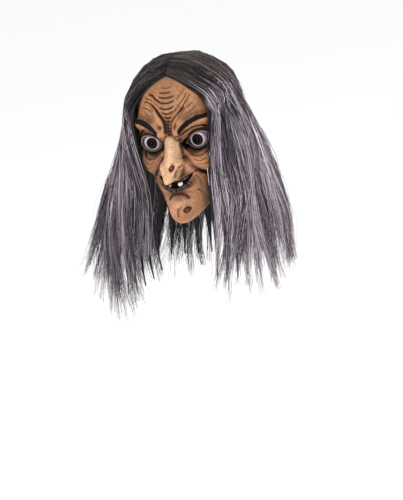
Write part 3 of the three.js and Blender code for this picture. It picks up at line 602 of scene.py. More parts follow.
def latex_material():
    material, tree, shader, paint = new_material("latex paint", 0.5)
    place = object_place(tree)
    blotches = noise_node(tree, place, 55, 5, 0.65)
    grain = noise_node(tree, place, 900, 3, 0.6)
    mottled = vary(tree, paint.outputs["Color"], blotches, 0.8, 1.2)
    speckled = vary(tree, mottled, grain, 0.82, 1.18)
    skin = noise_node(tree, place, 300, 6, 0.68)
    skin.inputs["Distortion"].default_value = 1.2
    tree.links.new(vary(tree, speckled, skin, 0.56, 1.4), shader.inputs["Base Color"])
    gloss = tree.nodes.new("ShaderNodeAttribute")
    gloss.attribute_name = "gloss"
    tree.links.new(gloss.outputs["Fac"], shader.inputs["Roughness"])
    shader.inputs["Specular IOR Level"].default_value = 0.2
    shader.inputs["Subsurface Weight"].default_value = 0.06
    shader.inputs["Subsurface Radius"].default_value = (0.004, 0.002, 0.001)
    bump(tree, shader, skin.outputs["Fac"], 0.35, 0.0014)
    return material


def eye_material():
    material, tree, shader, paint = new_material("eye paint", 0.5, coat=0.14, coat_roughness=0.05)
    shader.inputs["Specular IOR Level"].default_value = 0.0
    veins = noise_node(tree, object_place(tree), 260, 5, 0.7)
    tree.links.new(vary(tree, paint.outputs["Color"], veins, 0.85, 1.15), shader.inputs["Base Color"])
    return material


def tooth_material():
    material, tree, shader, paint = new_material("tooth enamel", 0.18, coat=0.6, coat_roughness=0.05)
    stain = noise_node(tree, object_place(tree), 420, 3)
    tree.links.new(vary(tree, paint.outputs["Color"], stain, 0.88, 1.1), shader.inputs["Base Color"])
    return material


def fuzz_material():
    material, tree, shader, paint = new_material("brow fibre", 0.75)
    tree.links.new(paint.outputs["Color"], shader.inputs["Base Color"])
    shader.inputs["Specular IOR Level"].default_value = 0.2
    return material


def hair_material():
    material, tree, shader, paint = new_material("hair fibre", 0.42)
    streak = noise_node(tree, object_place(tree), 700, 2)
    tree.links.new(vary(tree, paint.outputs["Color"], streak, 0.75, 1.25), shader.inputs["Base Color"])
    shader.inputs["Specular IOR Level"].default_value = 0.2
    return material


def wear(piece, material):
    piece.data.materials.append(material)
    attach(piece, "root")


# Camera

def look():
    """The photograph's view: back is the way from the mask to the camera."""
    back = Vector(VIEW_BACK).normalized()
    right = Vector(VIEW_RIGHT)
    right = (right - back * right.dot(back)).normalized()
    up = back.cross(right)
    data = bpy.data.cameras.new("camera")
    data.sensor_width = 36
    data.lens = LENS
    data.clip_end = 50
    camera = bpy.data.objects.new("camera", data)
    turn = Matrix((right, up, back)).transposed().to_4x4()
    camera.matrix_world = Matrix.Translation(Vector(VIEW_AIM) + back * VIEW_DISTANCE) @ turn
    bpy.context.scene.collection.objects.link(camera)
    bpy.context.scene.camera = camera
    return back, right, up


def area_light(name, place, target, size, power, colour=(1, 1, 1)):
    data = bpy.data.lights.new(name, "AREA")
    data.shape = "DISK"
    data.size = size
    data.energy = power
    data.color = colour
    lamp = bpy.data.objects.new(name, data)
    lamp.location = place
    lamp.rotation_euler = (Vector(target) - Vector(place)).to_track_quat("-Z", "Y").to_euler()
    bpy.context.scene.collection.objects.link(lamp)


def studio(back, right, up):
    face = Vector(FACE_MIDDLE)
    area_light("key", face + back * 1.7 - right * 1.1 + up * 1.0, face, 0.5, 17)
    area_light("fill", face + back * 1.7 + right * 1.6 + up * 0.5, face, 0.6, 14)
    area_light("top", face + Vector((0.2, 0.5, 1.8)), face, 0.8, 12)
    area_light("catch", face + Vector((-0.50, -1.80, -0.15)), face, 0.22, 6)
    world = bpy.data.worlds.new("studio")
    world.use_nodes = True
    world.node_tree.nodes["Background"].inputs["Color"].default_value = (1, 1, 1, 1)
    world.node_tree.nodes["Background"].inputs["Strength"].default_value = 1.0
    bpy.context.scene.world = world
    bpy.context.scene.view_settings.view_transform = "Standard"
    corners = [(x * FLOOR_HALF, y * FLOOR_HALF, FLOOR_Z) for x, y in ((-1, -1), (1, -1), (1, 1), (-1, 1))]
    floor = new_piece("floor", np.array(corners) / MM, [(0, 1, 2, 3)])
    material = bpy.data.materials.new("floor")
    material.use_nodes = True
    shader = material.node_tree.nodes["Principled BSDF"]
    shader.inputs["Base Color"].default_value = (0.95, 0.95, 0.95, 1)
    shader.inputs["Roughness"].default_value = 0.9
    floor.data.materials.append(material)


# Latex head

def column_angles():
    t = 2 * np.arange(FRONT_COLUMNS) / FRONT_COLUMNS - 1
    front = np.pi / 2 * (0.62 * t + 0.38 * t ** 3)
    back = np.pi / 2 + np.pi * np.arange(BACK_COLUMNS) / BACK_COLUMNS
    return np.concatenate([front, back])


def row_numbers():
    rows = [np.arange(int(s[-1])) / s[-1] + i for i, s in enumerate(SECTIONS) if s[-1] > 0]
    return np.concatenate(rows + [[len(SECTIONS) - 1]])[1:]


def grid_normals(points):
    across = np.roll(points, -1, axis=1) - np.roll(points, 1, axis=1)
    down = np.empty_like(points)
    down[1:-1] = points[2:] - points[:-2]
    down[0] = points[1] - points[0]
    down[-1] = points[-1] - points[-2]
    return unit(np.cross(down, across))


def mouth_inside(x, z):
    """How far a place is inside the mouth, below 0 outside it, and how high between the lips."""
    t = x / (MOUTH_WIDTH / 2)
    middle = -MOUTH_DROP * FACE_LENGTH + MOUTH_SMILE * t ** 2
    half = (MOUTH_HEIGHT / 2) * np.sqrt(np.maximum(1 - t ** 2, 0))
    inside = np.minimum(half - np.abs(z - middle), MOUTH_WIDTH / 2 - np.abs(x))
    return inside, (z - middle) / (MOUTH_HEIGHT / 2)


def lower_lip_path():
    x = np.linspace(-27, 27, 13)
    t = x / (MOUTH_WIDTH / 2)
    drop = (MOUTH_HEIGHT / 2) * np.sqrt(1 - t ** 2)
    return np.stack([x, -MOUTH_DROP * FACE_LENGTH + MOUTH_SMILE * t ** 2 - drop - LOWER_LIP_DROP], -1)


class Latex:
    """The fine latex surface: its points, its paint and its gloss."""

    def __init__(self):
        around, row = np.meshgrid(column_angles(), row_numbers())
        self.points, self.nose = face_and_nose(around, row)
        self.normals = grid_normals(self.points)
        self.front = smooth(np.cos(around) / 0.25)
        self.x, self.z = self.points[..., 0], self.points[..., 2]
        self.off_nose = 1 - smooth((self.nose - 3) / 5)
        self.lift = np.zeros(self.x.shape)
        self.colour = np.empty(self.x.shape + (3,))
        self.colour[:] = linear("#b9855a")
        self.gloss = np.full(self.x.shape, 0.46)
        self.mouth_sink = np.zeros(self.x.shape)

    def tint(self, mask, code, amount=1.0):
        share = (np.clip(mask, 0, 1) * amount)[..., None]
        self.colour = mix(self.colour, linear(code), share)

    def blob(self, x, z, wide, tall, both=True):
        across = np.abs(self.x) - x if both else self.x - x
        return bell(across / wide) * bell((self.z - z) / tall) * self.front

    def patches(self, table):
        for x, z, wide, tall, code, amount, both in table.values():
            self.tint(self.blob(x, z, wide, tall, both), code, amount)

    def groove(self, path, depth, width, dark, both=False, mask=1.0):
        across = np.abs(self.x) if both else self.x
        distance, along = path_distance(across, self.z, rounded(path))
        ends = np.sqrt(np.clip(np.minimum(along, 1 - along) / 0.18, 0, 1)) * self.front * mask
        core = bell(distance / width) * ends
        shoulder = bell((distance - 2.1 * width) / width) * ends
        self.lift += depth * (0.22 * shoulder - core)
        # Painted shade in the crease, darkest along its middle, and a faint painted highlight on its
        # shoulders
        self.tint(bell(distance / (3.0 * width)) * ends, "#7d4322", 0.5 * dark)
        self.tint(bell(distance / (1.2 * width)) * ends, "#331507", dark)
        self.tint(shoulder, "#d9ab7c", 0.1 * dark)


def crease_latex(latex):
    for name, depth, width, dark, path, both in CREASES:
        on_nose = name in ("nostril", "nose tip crease")
        latex.groove(path, depth, width, dark, both, 1.0 if on_nose else latex.off_nose)
    # The stacked wrinkles get painted shade too, darker the deeper they are
    for z, left, right, rise, depth in STACK:
        x = np.linspace(left, right, 7)
        middle = (left + right) / 2
        height = z + rise * ((x - middle) / (right - left) * 2) ** 2
        latex.groove(np.stack([x, height], -1), depth, 1.15, 0.45 + 0.3 * depth)


def paint_latex(latex):
    latex.tint(latex.blob(30, -60, 30, 40), "#c8925f", 0.6)
    latex.tint(smooth((latex.z + 30) / 18) * latex.front, "#8a6a4c", 0.5)
    latex.patches(UPPER_PATCHES)
    latex.tint(smooth(latex.nose / 5), "#dcb084", 0.85)
    # Painted highlights on one side of the nose bridge and of the nose tip
    latex.tint(latex.blob(4, -128, 9, 18, both=False) * smooth(latex.nose / 8), "#e2be94", 0.8)
    latex.tint(latex.blob(4, -160, 9, 9, both=False) * smooth(latex.nose / 14), "#e6bb8a", 0.7)
    latex.patches(LOWER_PATCHES)


def dress_eyes(latex):
    lid = inside_eye_opening(latex.x, latex.z)
    near = (np.abs(np.abs(latex.x) - EYE_APART) < 34) & (latex.front > 0.5) & (np.abs(latex.z + 118) < 32)
    upper_lid = smooth((latex.z + EYE_DROP * FACE_LENGTH + 2) / 6) * near
    lower_lid = near * (1 - upper_lid)
    # Painted shade in the eye socket round the opening, and a painted shadow under the lower lid
    latex.tint(smooth((lid + 8.5) / 3) * near * latex.off_nose, "#33241a", 0.6)
    latex.tint(smooth((lid + 11) / 5) * lower_lid * latex.off_nose, "#241b12", 0.8)
    latex.tint(smooth((lid + 7.0) / 2) * upper_lid * latex.off_nose, "#7c6964", 0.75)
    latex.tint(bell((lid + 1.3) / 0.9) * near, "#9c8478", 0.85)
    # The latex tucked behind the eyeball is painted black as the shade in the seam
    latex.tint(smooth((lid + 0.15) / 0.5) * near, "#050404", 1.0)
    latex.lift += 0.7 * bell((lid + 1.0) / 0.9) * near
    latex.lift -= 0.8 * bell((lid + 3.4) / 0.9) * near
    # Painted shadow in the groove outside the lid's rim
    latex.tint(bell((lid + 3.5) / 0.9) * near, "#150d08", 0.85)
    sunk = smooth(lid / 0.9) * near
    for side in (-1, 1):
        centre = eye_centre(side)
        flat = np.hypot(latex.x - centre[0], latex.z - centre[2])
        behind = centre[1] - np.sqrt(np.maximum((EYE_RADIUS - 3) ** 2 - flat ** 2, 0))
        share = sunk * (np.sign(latex.x) == side)
        latex.points[..., 1] += (behind - latex.points[..., 1]) * share
    latex.lift *= 1 - sunk


def dress_mouth(latex):
    inside, up = mouth_inside(latex.x, latex.z)
    mask = latex.front * latex.off_nose
    sunk = smooth(inside / 2.2 + 0.25) * mask
    gum = bell((up - 0.35) / 0.33) * smooth(inside / 2) * mask
    latex.mouth_sink = MOUTH_DEPTH * sunk - 4.0 * gum
    latex.tint(smooth(inside / 1.2 + 0.9) * mask, "#050505", 1.0)
    latex.gloss = mix(latex.gloss, 0.1, smooth(inside / 1.0 + 0.9) * mask)
    latex.lift += 1.3 * (bell((inside + 1.6) / 1.5) * (up > 0) * mask)
    latex.tint(bell((inside + 1.2) / 1.2) * (up > 0) * mask, "#2a130c", 0.8)
    # Painted highlight on the glossy gum roll inside the upper lip
    painted_gum_highlight = bell((up - 0.45) / 0.25) * bell((latex.x - 16) / 7) * smooth(inside / 1.2) * mask
    latex.tint(painted_gum_highlight, "#a5aaad", 0.9)


def dress_lower_lip(latex):
    distance, along = path_distance(latex.x, latex.z, lower_lip_path())
    inside, up = mouth_inside(latex.x, latex.z)
    below = smooth(-inside / 1.0 + 0.2) * (up < 0.2) * latex.front * latex.off_nose
    roll = bell((distance / 4.6) ** 2) * below * smooth(np.minimum(along, 1 - along) / 0.1)
    pleat = 0.5 + 0.5 * np.cos(FULL_TURN * along * LIP_PLEATS + 1.2 * np.sin(along * 40))
    latex.lift += roll * (2.2 - 1.2 * pleat ** 2)
    # Painted shadow under the lower lip's roll
    latex.tint(bell((distance - 2) / 5.5) * below, "#4a2a18", 0.6)
    latex.tint(roll, "#1e0f0a", 0.97)
    # Painted highlights on the tops of the lip's pleats near the mouth, and painted shade in the grooves
    # between them
    latex.tint(roll * (1 - pleat) ** 8 * bell((inside + 3) / 2.2), "#b09484", 0.55)
    latex.tint(roll * pleat ** 3, "#0a0504", 0.8)
    latex.tint(bell((distance - 5.5) / 2.5) * below, "#8a5a3c", 0.35)


def add_warts(latex):
    for x, z, wide, tall, height in WARTS:
        distance = np.hypot((latex.x - x) / wide, (latex.z - z) / tall)
        latex.lift += height * np.sqrt(np.maximum(1 - distance ** 2, 0)) * latex.front
        latex.lift -= 0.5 * bell((distance - 1.1) / 0.16) * latex.front
        latex.tint((distance < 1.25) * latex.front, "#5a2210", 0.95)
        latex.tint(bell((distance - 0.95) / 0.3) * latex.front, "#2e0d06", 0.95)
        # A painted highlight off the middle of each wart
        painted_highlight_distance = np.hypot((latex.x - x + 0.25 * wide) / wide, (latex.z - z) / tall)
        latex.tint(bell(painted_highlight_distance / 0.34), "#94441c", 0.85)
        latex.tint(bell(distance / 0.2), "#2a0c06", 0.8)


def hollow_depth(points, normals, reach):
    """How far a place lies below its neighbours a few mesh steps away."""
    rows = np.arange(len(points))
    above = points[np.clip(rows - reach, 0, None)]
    below = points[np.clip(rows + reach, None, len(points) - 1)]
    around = np.roll(points, reach, 1) + np.roll(points, -reach, 1) + above + below
    return ((around / 4 - points) * normals).sum(-1)


def spread_out(values, rows, columns):
    """The largest value within some rows and columns of each place."""
    index = np.arange(len(values))
    result = values
    for step in range(-rows, rows + 1):
        result = np.maximum(result, values[np.clip(index + step, 0, len(values) - 1)])
    widened = result
    for step in range(-columns, columns + 1):
        widened = np.maximum(widened, np.roll(result, step, 1))
    return widened


def paint_hollow_shade_and_ridge_light(latex, outer):
    """Painted shade in the hollows and painted highlight on the ridges, from how far a place lies below or
    above its neighbours.
    """
    normals = grid_normals(outer)
    hollow_shade_tint = np.array([0.30, 0.19, 0.13])
    for reach, depth, strength in ((2, 0.16, 0.75), (5, 0.7, 0.7), (12, 3.0, 0.6)):
        hollow = hollow_depth(outer, normals, reach) / depth
        sunk = (smooth(hollow) * strength * latex.front)[..., None]
        # Painted highlight that lightens the ridges
        worn = (smooth(-hollow) * 0.09 * latex.front)[..., None]
        # Painted shade darkens the hollows and painted highlight lightens the ridges
        latex.colour *= mix(1.0, hollow_shade_tint, sunk) * (1 + worn)
    latex.patches(NOSE_WING_LIGHT_PATCHES)


def darken_scalp(latex):
    """Under the hair the latex is dark."""
    edge = rounded(HAIRLINE)
    order = np.argsort(-edge[:, 1])
    limit = np.interp(-latex.z, -edge[order, 1], edge[order, 0])
    outside = smooth((np.abs(latex.x) - limit + 3) / 5)
    scalp = np.maximum(np.where(latex.z > -7, 1.0, outside), 1 - latex.front)
    latex.tint(scalp, "#241812", 0.9)
    latex.gloss = mix(latex.gloss, 0.7, scalp)


def inner_wall(latex, outer):
    """The inside of the latex: coarser, and clear of the dips, the eyes and the mouth's pocket."""
    kept = np.append(np.arange(0, len(outer) - 1, INNER_SKIP), len(outer) - 1)
    dips = np.clip(1.7 * hollow_depth(outer, grid_normals(outer), 6), 0, 10) * latex.front
    clear = WALL + spread_out(dips, INNER_SKIP, 7)
    inner = (latex.points - latex.normals * clear[..., None])[kept]
    lid = inside_eye_opening(inner[..., 0], inner[..., 2])
    socket = smooth((lid + 9) / 4) * latex.front[kept]
    back = -EYE_BACK * FACE_REACH - 4
    inner[..., 1] += np.maximum(back - inner[..., 1], 0) * socket
    inside, _ = mouth_inside(inner[..., 0], inner[..., 2])
    pocket = smooth((inside + 7) / 3) * latex.front[kept]
    inner[..., 1] += (MOUTH_DEPTH + WALL) * pocket
    return inner


def build_latex():
    latex = Latex()
    paint_latex(latex)
    crease_latex(latex)
    dress_lower_lip(latex)
    dress_mouth(latex)
    add_warts(latex)
    darken_scalp(latex)
    dress_eyes(latex)
    outer = latex.points + latex.normals * latex.lift[..., None]
    outer[..., 1] += latex.mouth_sink
    paint_hollow_shade_and_ridge_light(latex, outer)
    inner = inner_wall(latex, outer)
    rows, columns = outer.shape[:2]
    pole = head_point(np.array(0.0), np.array(0.0))
    inner_first = rows * columns
    inner_count = len(inner) * columns
    points = np.concatenate([outer.reshape(-1, 3), inner.reshape(-1, 3), [pole, pole - (0, 0, WALL)]])
    outer_quads = grid_quads(rows, columns)
    inner_quads = grid_quads(len(inner), columns, inner_first)[:, ::-1]
    last_outer = (rows - 1) * columns + np.arange(columns)
    last_inner = inner_first + inner_count - columns + np.arange(columns)
    rim = np.stack([last_outer, last_inner, np.roll(last_inner, -1), np.roll(last_outer, -1)], -1)
    caps = np.concatenate([
        fan(inner_first + inner_count, np.arange(columns)),
        fan(inner_first + inner_count + 1, inner_first + np.arange(columns))[:, ::-1],
    ])
    inner_paint = np.tile(linear("#c9a27c"), (inner_count + 2, 1))
    paint = np.concatenate([latex.colour.reshape(-1, 3) * SKIN_TONE, inner_paint])
    gloss = np.concatenate([latex.gloss.ravel(), np.full(inner_count + 2, 0.6)])
    quads = np.concatenate([outer_quads, inner_quads, rim])
    head = new_piece("latex_skin", points, quads, caps, paint, gloss)
    wear(head, latex_material())
    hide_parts("latex_head")


# Eyes

def iris_colour(radius, turn, side):
    """Painted rings of the eye, from the black pupil out to the bloodshot white."""
    colour = np.empty(radius.shape + (3,))
    colour[:] = linear("#8a7e83")
    from_corner = np.hypot(np.cos(turn) * side + 1, 0.9 * np.sin(turn))
    layers = [
        ("#a8706a", 0.75 * (bell(from_corner / 0.75) * smooth((radius - 11) / 5))),
        ("#453d42", 0.75 * smooth((radius - 13) / 4)),
        ("#c9bcbe", 1 - smooth((radius - 11.4) / 1.0)),
        ("#050404", 1 - smooth((radius - 9.2) / 0.7)),
        ("#2a2022", 0.8 * bell((radius - 6.4) / 0.9)),
        ("#010101", 1 - smooth((radius - 4.6) / 0.5)),
    ]
    for code, share in layers:
        colour = mix(colour, linear(code), share[..., None])
    return colour


def build_eye(name, side, material):
    rings, sectors = 48, 64
    widest = math.radians(EYE_WIDEST)
    angle = widest * (np.arange(1, rings + 1) / rings)[:, None]
    turn = ring_angles(sectors)[None, :]

    def dome(radius, tilt):
        return np.stack([radius * np.sin(tilt) * np.cos(turn), -radius * np.cos(tilt) * np.ones_like(turn),
                         radius * np.sin(tilt) * np.sin(turn)], -1) + eye_centre(side)

    cornea = CORNEA_BULGE * bell(angle / 0.42)
    outer = dome(EYE_RADIUS + cornea, angle)
    inner = dome(EYE_RADIUS - EYE_SHELL, angle[::6][::-1])
    depths = (EYE_RADIUS + CORNEA_BULGE, EYE_RADIUS - EYE_SHELL)
    poles = [eye_centre(side) - (0, depth, 0) for depth in depths]
    points, quads, caps = tube_mesh(np.concatenate([outer, inner]), poles)
    flat = EYE_RADIUS * np.sin(angle) * np.ones_like(turn)
    paint = np.tile(linear("#8d8289"), (len(points), 1))
    paint[:rings * sectors] = iris_colour(flat, turn * np.ones_like(angle), side).reshape(-1, 3)
    paint[-2] = linear("#030303")
    eye = new_piece(name, points, quads, caps, paint)
    wear(eye, material)
    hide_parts(name.replace("ball", "eye"))


# Teeth

TOOTH_PROFILE = [(0, 0.78), (0.15, 0.86), (0.35, 0.96), (0.58, 1.0), (0.76, 0.97), (0.88, 0.84), (0.96, 0.58)]


def build_tooth(name, node, enamel, material):
    """A rounded tooth that fills its solid's box: bulging in the middle, worn at its tip."""
    low, high = (np.array(corner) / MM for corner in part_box(node))
    sides, rings = 24, 16
    t = np.linspace(0, 0.96, rings)
    shares = np.interp(t, *np.array(TOOTH_PROFILE).T)
    turn = ring_angles(sides)
    middle = (low + high) / 2
    half = (high - low) / 2
    ring = np.stack([np.sign(np.cos(turn)) * np.abs(np.cos(turn)) ** 0.8,
                     np.sign(np.sin(turn)) * np.abs(np.sin(turn)) ** 0.8], -1)
    points = np.array([[(middle[0] + half[0] * s * rx, middle[1] + half[1] * s * ry, low[2] + 2 * half[2] * h)
                        for rx, ry in ring] for h, s in zip(t, shares)])
    ends = [(middle[0], middle[1], low[2]), (middle[0], middle[1], high[2])]
    points, quads, caps = tube_mesh(points, ends)
    height = (points[:, 2] - low[2]) / (high[2] - low[2])
    paint = mix(linear("#6f6656"), linear(enamel), smooth((height - 0.15) / 0.5)[:, None])
    tooth = new_piece(name, points, quads[:, ::-1], caps[:, ::-1], paint)
    wear(tooth, material)
    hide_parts(node)


# Thin fibres

def fibre_mesh(lines, radius):
    """Closed thin tubes along many lines at once. lines is count by steps by 3, radius count by steps."""
    sides = FIBRE_SIDES
    count, steps = lines.shape[:2]
    along = np.empty_like(lines)
    along[:, 1:-1] = lines[:, 2:] - lines[:, :-2]
    along[:, 0] = lines[:, 1] - lines[:, 0]
    along[:, -1] = lines[:, -1] - lines[:, -2]
    along = unit(along)
    helper = unit(np.cross(along, np.array([0.31, 0.2, 0.93])))
    other = np.cross(along, helper)
    turn = ring_angles(sides)
    ring = (helper[:, :, None] * np.cos(turn)[:, None] + other[:, :, None] * np.sin(turn)[:, None])
    points = lines[:, :, None] + ring * radius[..., None, None]
    index = np.arange(count * steps * sides).reshape(count, steps, sides)
    near, far = index[:, :-1], index[:, 1:]
    quads = np.stack([near, far, np.roll(far, -1, 2), np.roll(near, -1, 2)], -1).reshape(-1, 4)[:, ::-1]
    caps = np.concatenate([index[:, 0], index[:, -1, ::-1]])
    return points.reshape(-1, 3), quads, caps


# Eyebrows

def along_brow(side, t):
    """Places along a brow, the ways outwards, across and off the face there, and the brow's fullness."""
    place = read_rows(BROW_PATH, t * (len(BROW_PATH) - 1))
    centre, facing = face_at(side * place[:, 0] * HALF_HEAD, place[:, 1])
    beyond, _ = face_at(side * (place[:, 0] + 0.02) * HALF_HEAD, place[:, 1])
    outward = unit(beyond - centre)
    full = 0.5 + 0.5 * np.sqrt(np.sin(np.pi * (0.2 + 0.7 * t)))
    return centre, outward, unit(np.cross(facing, outward)), facing, full


def build_brow(name, side, material, rng):
    """A strip of fur: a dark backing with short fibres combed outwards."""
    root, outward, across, facing, full = along_brow(side, rng.uniform(0, 1, BROW_FIBRES))
    spread = rng.uniform(-1, 1, BROW_FIBRES) * (4.0 * full)
    reach = rng.uniform(2.5, 5.0, BROW_FIBRES)
    lean = across * (rng.normal(0, 0.35, BROW_FIBRES) + 0.25 * spread / 4)[:, None]
    start = root + across * spread[:, None] + facing * 0.6
    bulge = (1 - (spread / (4.6 * full)) ** 2) * 2.2
    steps = np.linspace(0, 1, BROW_STEPS)[None, :, None]
    raised = bulge[:, None, None] * np.sqrt(steps) * rng.uniform(0.6, 1.2, (BROW_FIBRES, 1, 1))
    lines = (start[:, None] + (outward * 0.8 + lean)[:, None] * reach[:, None, None] * steps
             + facing[:, None] * raised)
    radius = 0.28 * (1 - 0.7 * steps[..., 0]) * np.ones((BROW_FIBRES, 1))
    points, quads, caps = fibre_mesh(lines, radius)
    shade = rng.uniform(0, 1, BROW_FIBRES)
    paint = mix(linear("#050605"), linear("#1b1f1d"), (shade ** 2)[:, None])
    paint = np.repeat(paint, BROW_STEPS * FIBRE_SIDES, axis=0)
    centre, _, across, facing, full = along_brow(side, np.linspace(0.01, 0.99, BACKING_STEPS))
    turn = ring_angles(BACKING_SIDES)
    rings = (centre[:, None] + across[:, None] * (np.cos(turn)[None, :, None] * (3.9 * full)[:, None, None])
             + facing[:, None] * (0.4 + np.sin(turn)[None, :, None] * (2.0 * full)[:, None, None]))
    tube, tube_quads, tube_caps = tube_mesh(rings, centre[[0, -1]], len(points))
    if side < 0:
        tube_quads, tube_caps = tube_quads[:, ::-1], tube_caps[:, ::-1]
    brow = new_piece(name, np.concatenate([points, tube]), np.concatenate([quads, tube_quads]),
                     np.concatenate([caps, tube_caps]),
                     np.concatenate([paint, np.tile(linear("#060706"), (len(tube), 1))]))
    wear(brow, material)
    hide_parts(name.replace("fur_", "eyebrow_"))


# Hair

SKULL_CENTRE = np.array([0, 0.045 * FACE_REACH, -0.335 * FACE_LENGTH])


def direction(turn, rise):
    return np.stack([np.sin(turn) * np.cos(rise), -np.cos(turn) * np.cos(rise), np.sin(rise) + 0 * turn], -1)


class Scalp:
    """How far the latex reaches from the skull's centre in a direction."""

    def __init__(self):
        t = 2 * np.arange(28) / 28 - 1
        front = np.pi / 2 * (0.55 * t + 0.45 * t ** 3)
        angles = np.concatenate([front, np.pi / 2 + np.pi * np.arange(7) / 7])
        crown = [1, 2, 3, 3.5, 4, 4.5]
        rows = np.concatenate([crown, 5 + np.arange(12) / 3, np.arange(18, 27) / 2, [14, 15]])
        around, row = np.meshgrid(angles, rows)
        away = face_point(around, row).reshape(-1, 3) - SKULL_CENTRE
        self.reach = np.linalg.norm(away, axis=1)
        self.ways = away / self.reach[:, None]

    def at(self, ways):
        turn = np.arccos(np.clip(ways @ self.ways.T, -1, 1))
        weight = bell(turn / 0.13)
        return (weight @ self.reach) / weight.sum(axis=1)


def hair_lines(side_name, places, samples, scalp):
    """Middle lines of the hair from the parting to the tips, places by samples by 3."""
    side = 1 if side_name == "left" else -1
    guides = GUIDES[side_name]
    values = read_rows(guides, places * (len(guides) - 1))
    g = dict(zip(GUIDE_KEYS, values.T))
    hang_turn, root_turn = np.radians(g["hang"]), np.radians(g["root"])
    root = np.stack([0 * root_turn, -np.cos(root_turn), np.sin(root_turn)], -1)
    hang = direction(hang_turn, -0.1) * (side, 1, 1)
    combed_out = 0.6 * smooth((np.pi - hang_turn) / 1.6)
    middle = unit(root + hang + combed_out[:, None] * np.array([side, 0, 0]))
    first = unit(root * 0.8 + middle * 0.45)
    second = unit(middle + hang * 0.75)

    def on_scalp(ways, loft):
        return ways * (scalp.at(ways) + loft * HAIR_LOFT)[:, None] + SKULL_CENTRE

    leave = on_scalp(hang, LOFTS["leave"])
    tip = np.stack([side * g["tip_x"] * HAIR_SPAN, g["tip_y"] * HAIR_DEPTH, -g["tip_z"] * HAIR_DROP], -1)
    outward = unit(hang * (1, 1, 0))

    def falling(share):
        swing = (g["bow"] * HAIR_LOFT * math.sin(math.pi * share) * 0.6)[:, None]
        return leave + (tip - leave) * share + outward * swing

    knots = np.stack([on_scalp(root, LOFTS["root"]), on_scalp(first, LOFTS["first"]),
                      on_scalp(middle, LOFTS["middle"]), on_scalp(second, LOFTS["second"]), leave,
                      falling(0.3), falling(0.62), tip], 1)
    return knot_curve(knots, samples)


def knot_curve(knots, samples):
    """Centripetal curves through the knots of each row."""
    before = 2 * knots[:, :1] - knots[:, 1:2]
    after = 2 * knots[:, -1:] - knots[:, -2:-1]
    p = np.concatenate([before, knots, after], 1)
    t = np.linspace(0, knots.shape[1] - 1, samples)
    i = np.minimum(t.astype(int), knots.shape[1] - 2)
    f = (t - i)[None, :, None]
    a, b, c, d = (p[:, i + k] for k in range(4))
    ab, bc, cd = (np.sqrt(np.linalg.norm(v - u, axis=-1, keepdims=True)) for u, v in ((a, b), (b, c), (c, d)))
    start = ((b - a) / ab - (c - a) / (ab + bc) + (c - b) / bc) * bc
    end = ((c - b) / bc - (d - b) / (bc + cd) + (d - c) / cd) * bc
    return (b + start * f + (-3 * b + 3 * c - 2 * start - end) * f ** 2
            + (2 * b - 2 * c + start + end) * f ** 3)


class HairSide:
    """The hair of one side as a sheet of lines that can be read at any place and share of the way."""

    def __init__(self, name, scalp):
        self.side = 1 if name == "left" else -1
        places = np.linspace(0, 1, 49)
        self.lines = hair_lines(name, places, 57, scalp)
        along = unit(np.gradient(self.lines, axis=1))
        spread = np.gradient(self.lines, axis=0)
        across = unit(spread - along * (spread * along).sum(-1, keepdims=True))
        up = np.cross(along, across)
        out = self.lines - SKULL_CENTRE
        up *= np.sign((up * out).sum(-1, keepdims=True) + 1e-9)
        self.across = across
        self.up = unit(up)
        widths = np.linalg.norm(spread, axis=-1)[:, 24:].mean(1)
        self.places = places
        self.filled = np.concatenate([[0], np.cumsum((widths[1:] + widths[:-1]) / 2)])
        self.filled /= self.filled[-1]

    def share(self, place):
        return np.interp(place, self.places, self.filled)

    def scatter(self, first, last, amounts):
        """Places spread evenly over the width of the hair, for amounts from 0 to 1."""
        low, high = self.share(first), self.share(last)
        return np.interp(low + (high - low) * amounts, self.filled, self.places)

    def read(self, table, place, t):
        p = np.clip(place, 0, 1) * (table.shape[0] - 1)
        s = np.clip(t, 0, 1) * (table.shape[1] - 1)
        i = np.minimum(p.astype(int), table.shape[0] - 2)
        j = np.minimum(s.astype(int), table.shape[1] - 2)
        f, g = (p - i)[..., None], (s - j)[..., None]
        return ((table[i, j] * (1 - f) + table[i + 1, j] * f) * (1 - g)
                + (table[i, j + 1] * (1 - f) + table[i + 1, j + 1] * f) * g)


def hair_shade(t, shade, layer, late, side):
    """Charcoal at the roots, then mauve grey with lighter and darker strands, and painted shade on the
    strands that lie low in the hair.
    """
    start = 0.20 if side > 0 else 0.30
    turned = smooth((t - start - 0.22 * (late - 0.5)) / 0.26)[..., None]
    lit_root = "#584a42" if side > 0 else "#60575a"
    root = mix(linear("#0a0909"), linear(lit_root), np.clip(shade, 0, 1)[..., None] ** 3)
    light = np.clip(shade, 0, 1)[..., None]
    grey = mix(linear("#161215"), linear("#847883"), smooth(light / 0.68))
    grey = mix(grey, linear("#e6dae4"), smooth((light - 0.66) / 0.34))
    tone = np.interp(t, (0.3, 0.55, 0.8), (1.3, 0.72, 1.2) if side > 0 else (1.4, 1.1, 0.75))
    grey *= tone[..., None]
    # Painted shade on the strands that lie low in the hair, nearest the head
    low_strand_shade = smooth((0.45 - layer) / 0.4)[..., None]
    return mix(root, grey, turned) * (1 - 0.8 * low_strand_shade)


def draw_clumps(sheet, first, last, clumps, rng):
    """Where the clumps of some strands lie, how light each is and how it waves."""
    return {
        "place": sheet.scatter(first, last, rng.uniform(0, 1, clumps)),
        "shade": rng.beta(0.6, 0.6, clumps),
        "phase": rng.uniform(0, FULL_TURN, (clumps, 2)),
        "wave": rng.uniform(1.2, 2.8, clumps),
        "swing": rng.uniform(4.0, 14.0, clumps),
        "end": rng.uniform(0.9, 1.01, clumps),
        "loft": rng.uniform(-0.15, 0.3, clumps),
    }


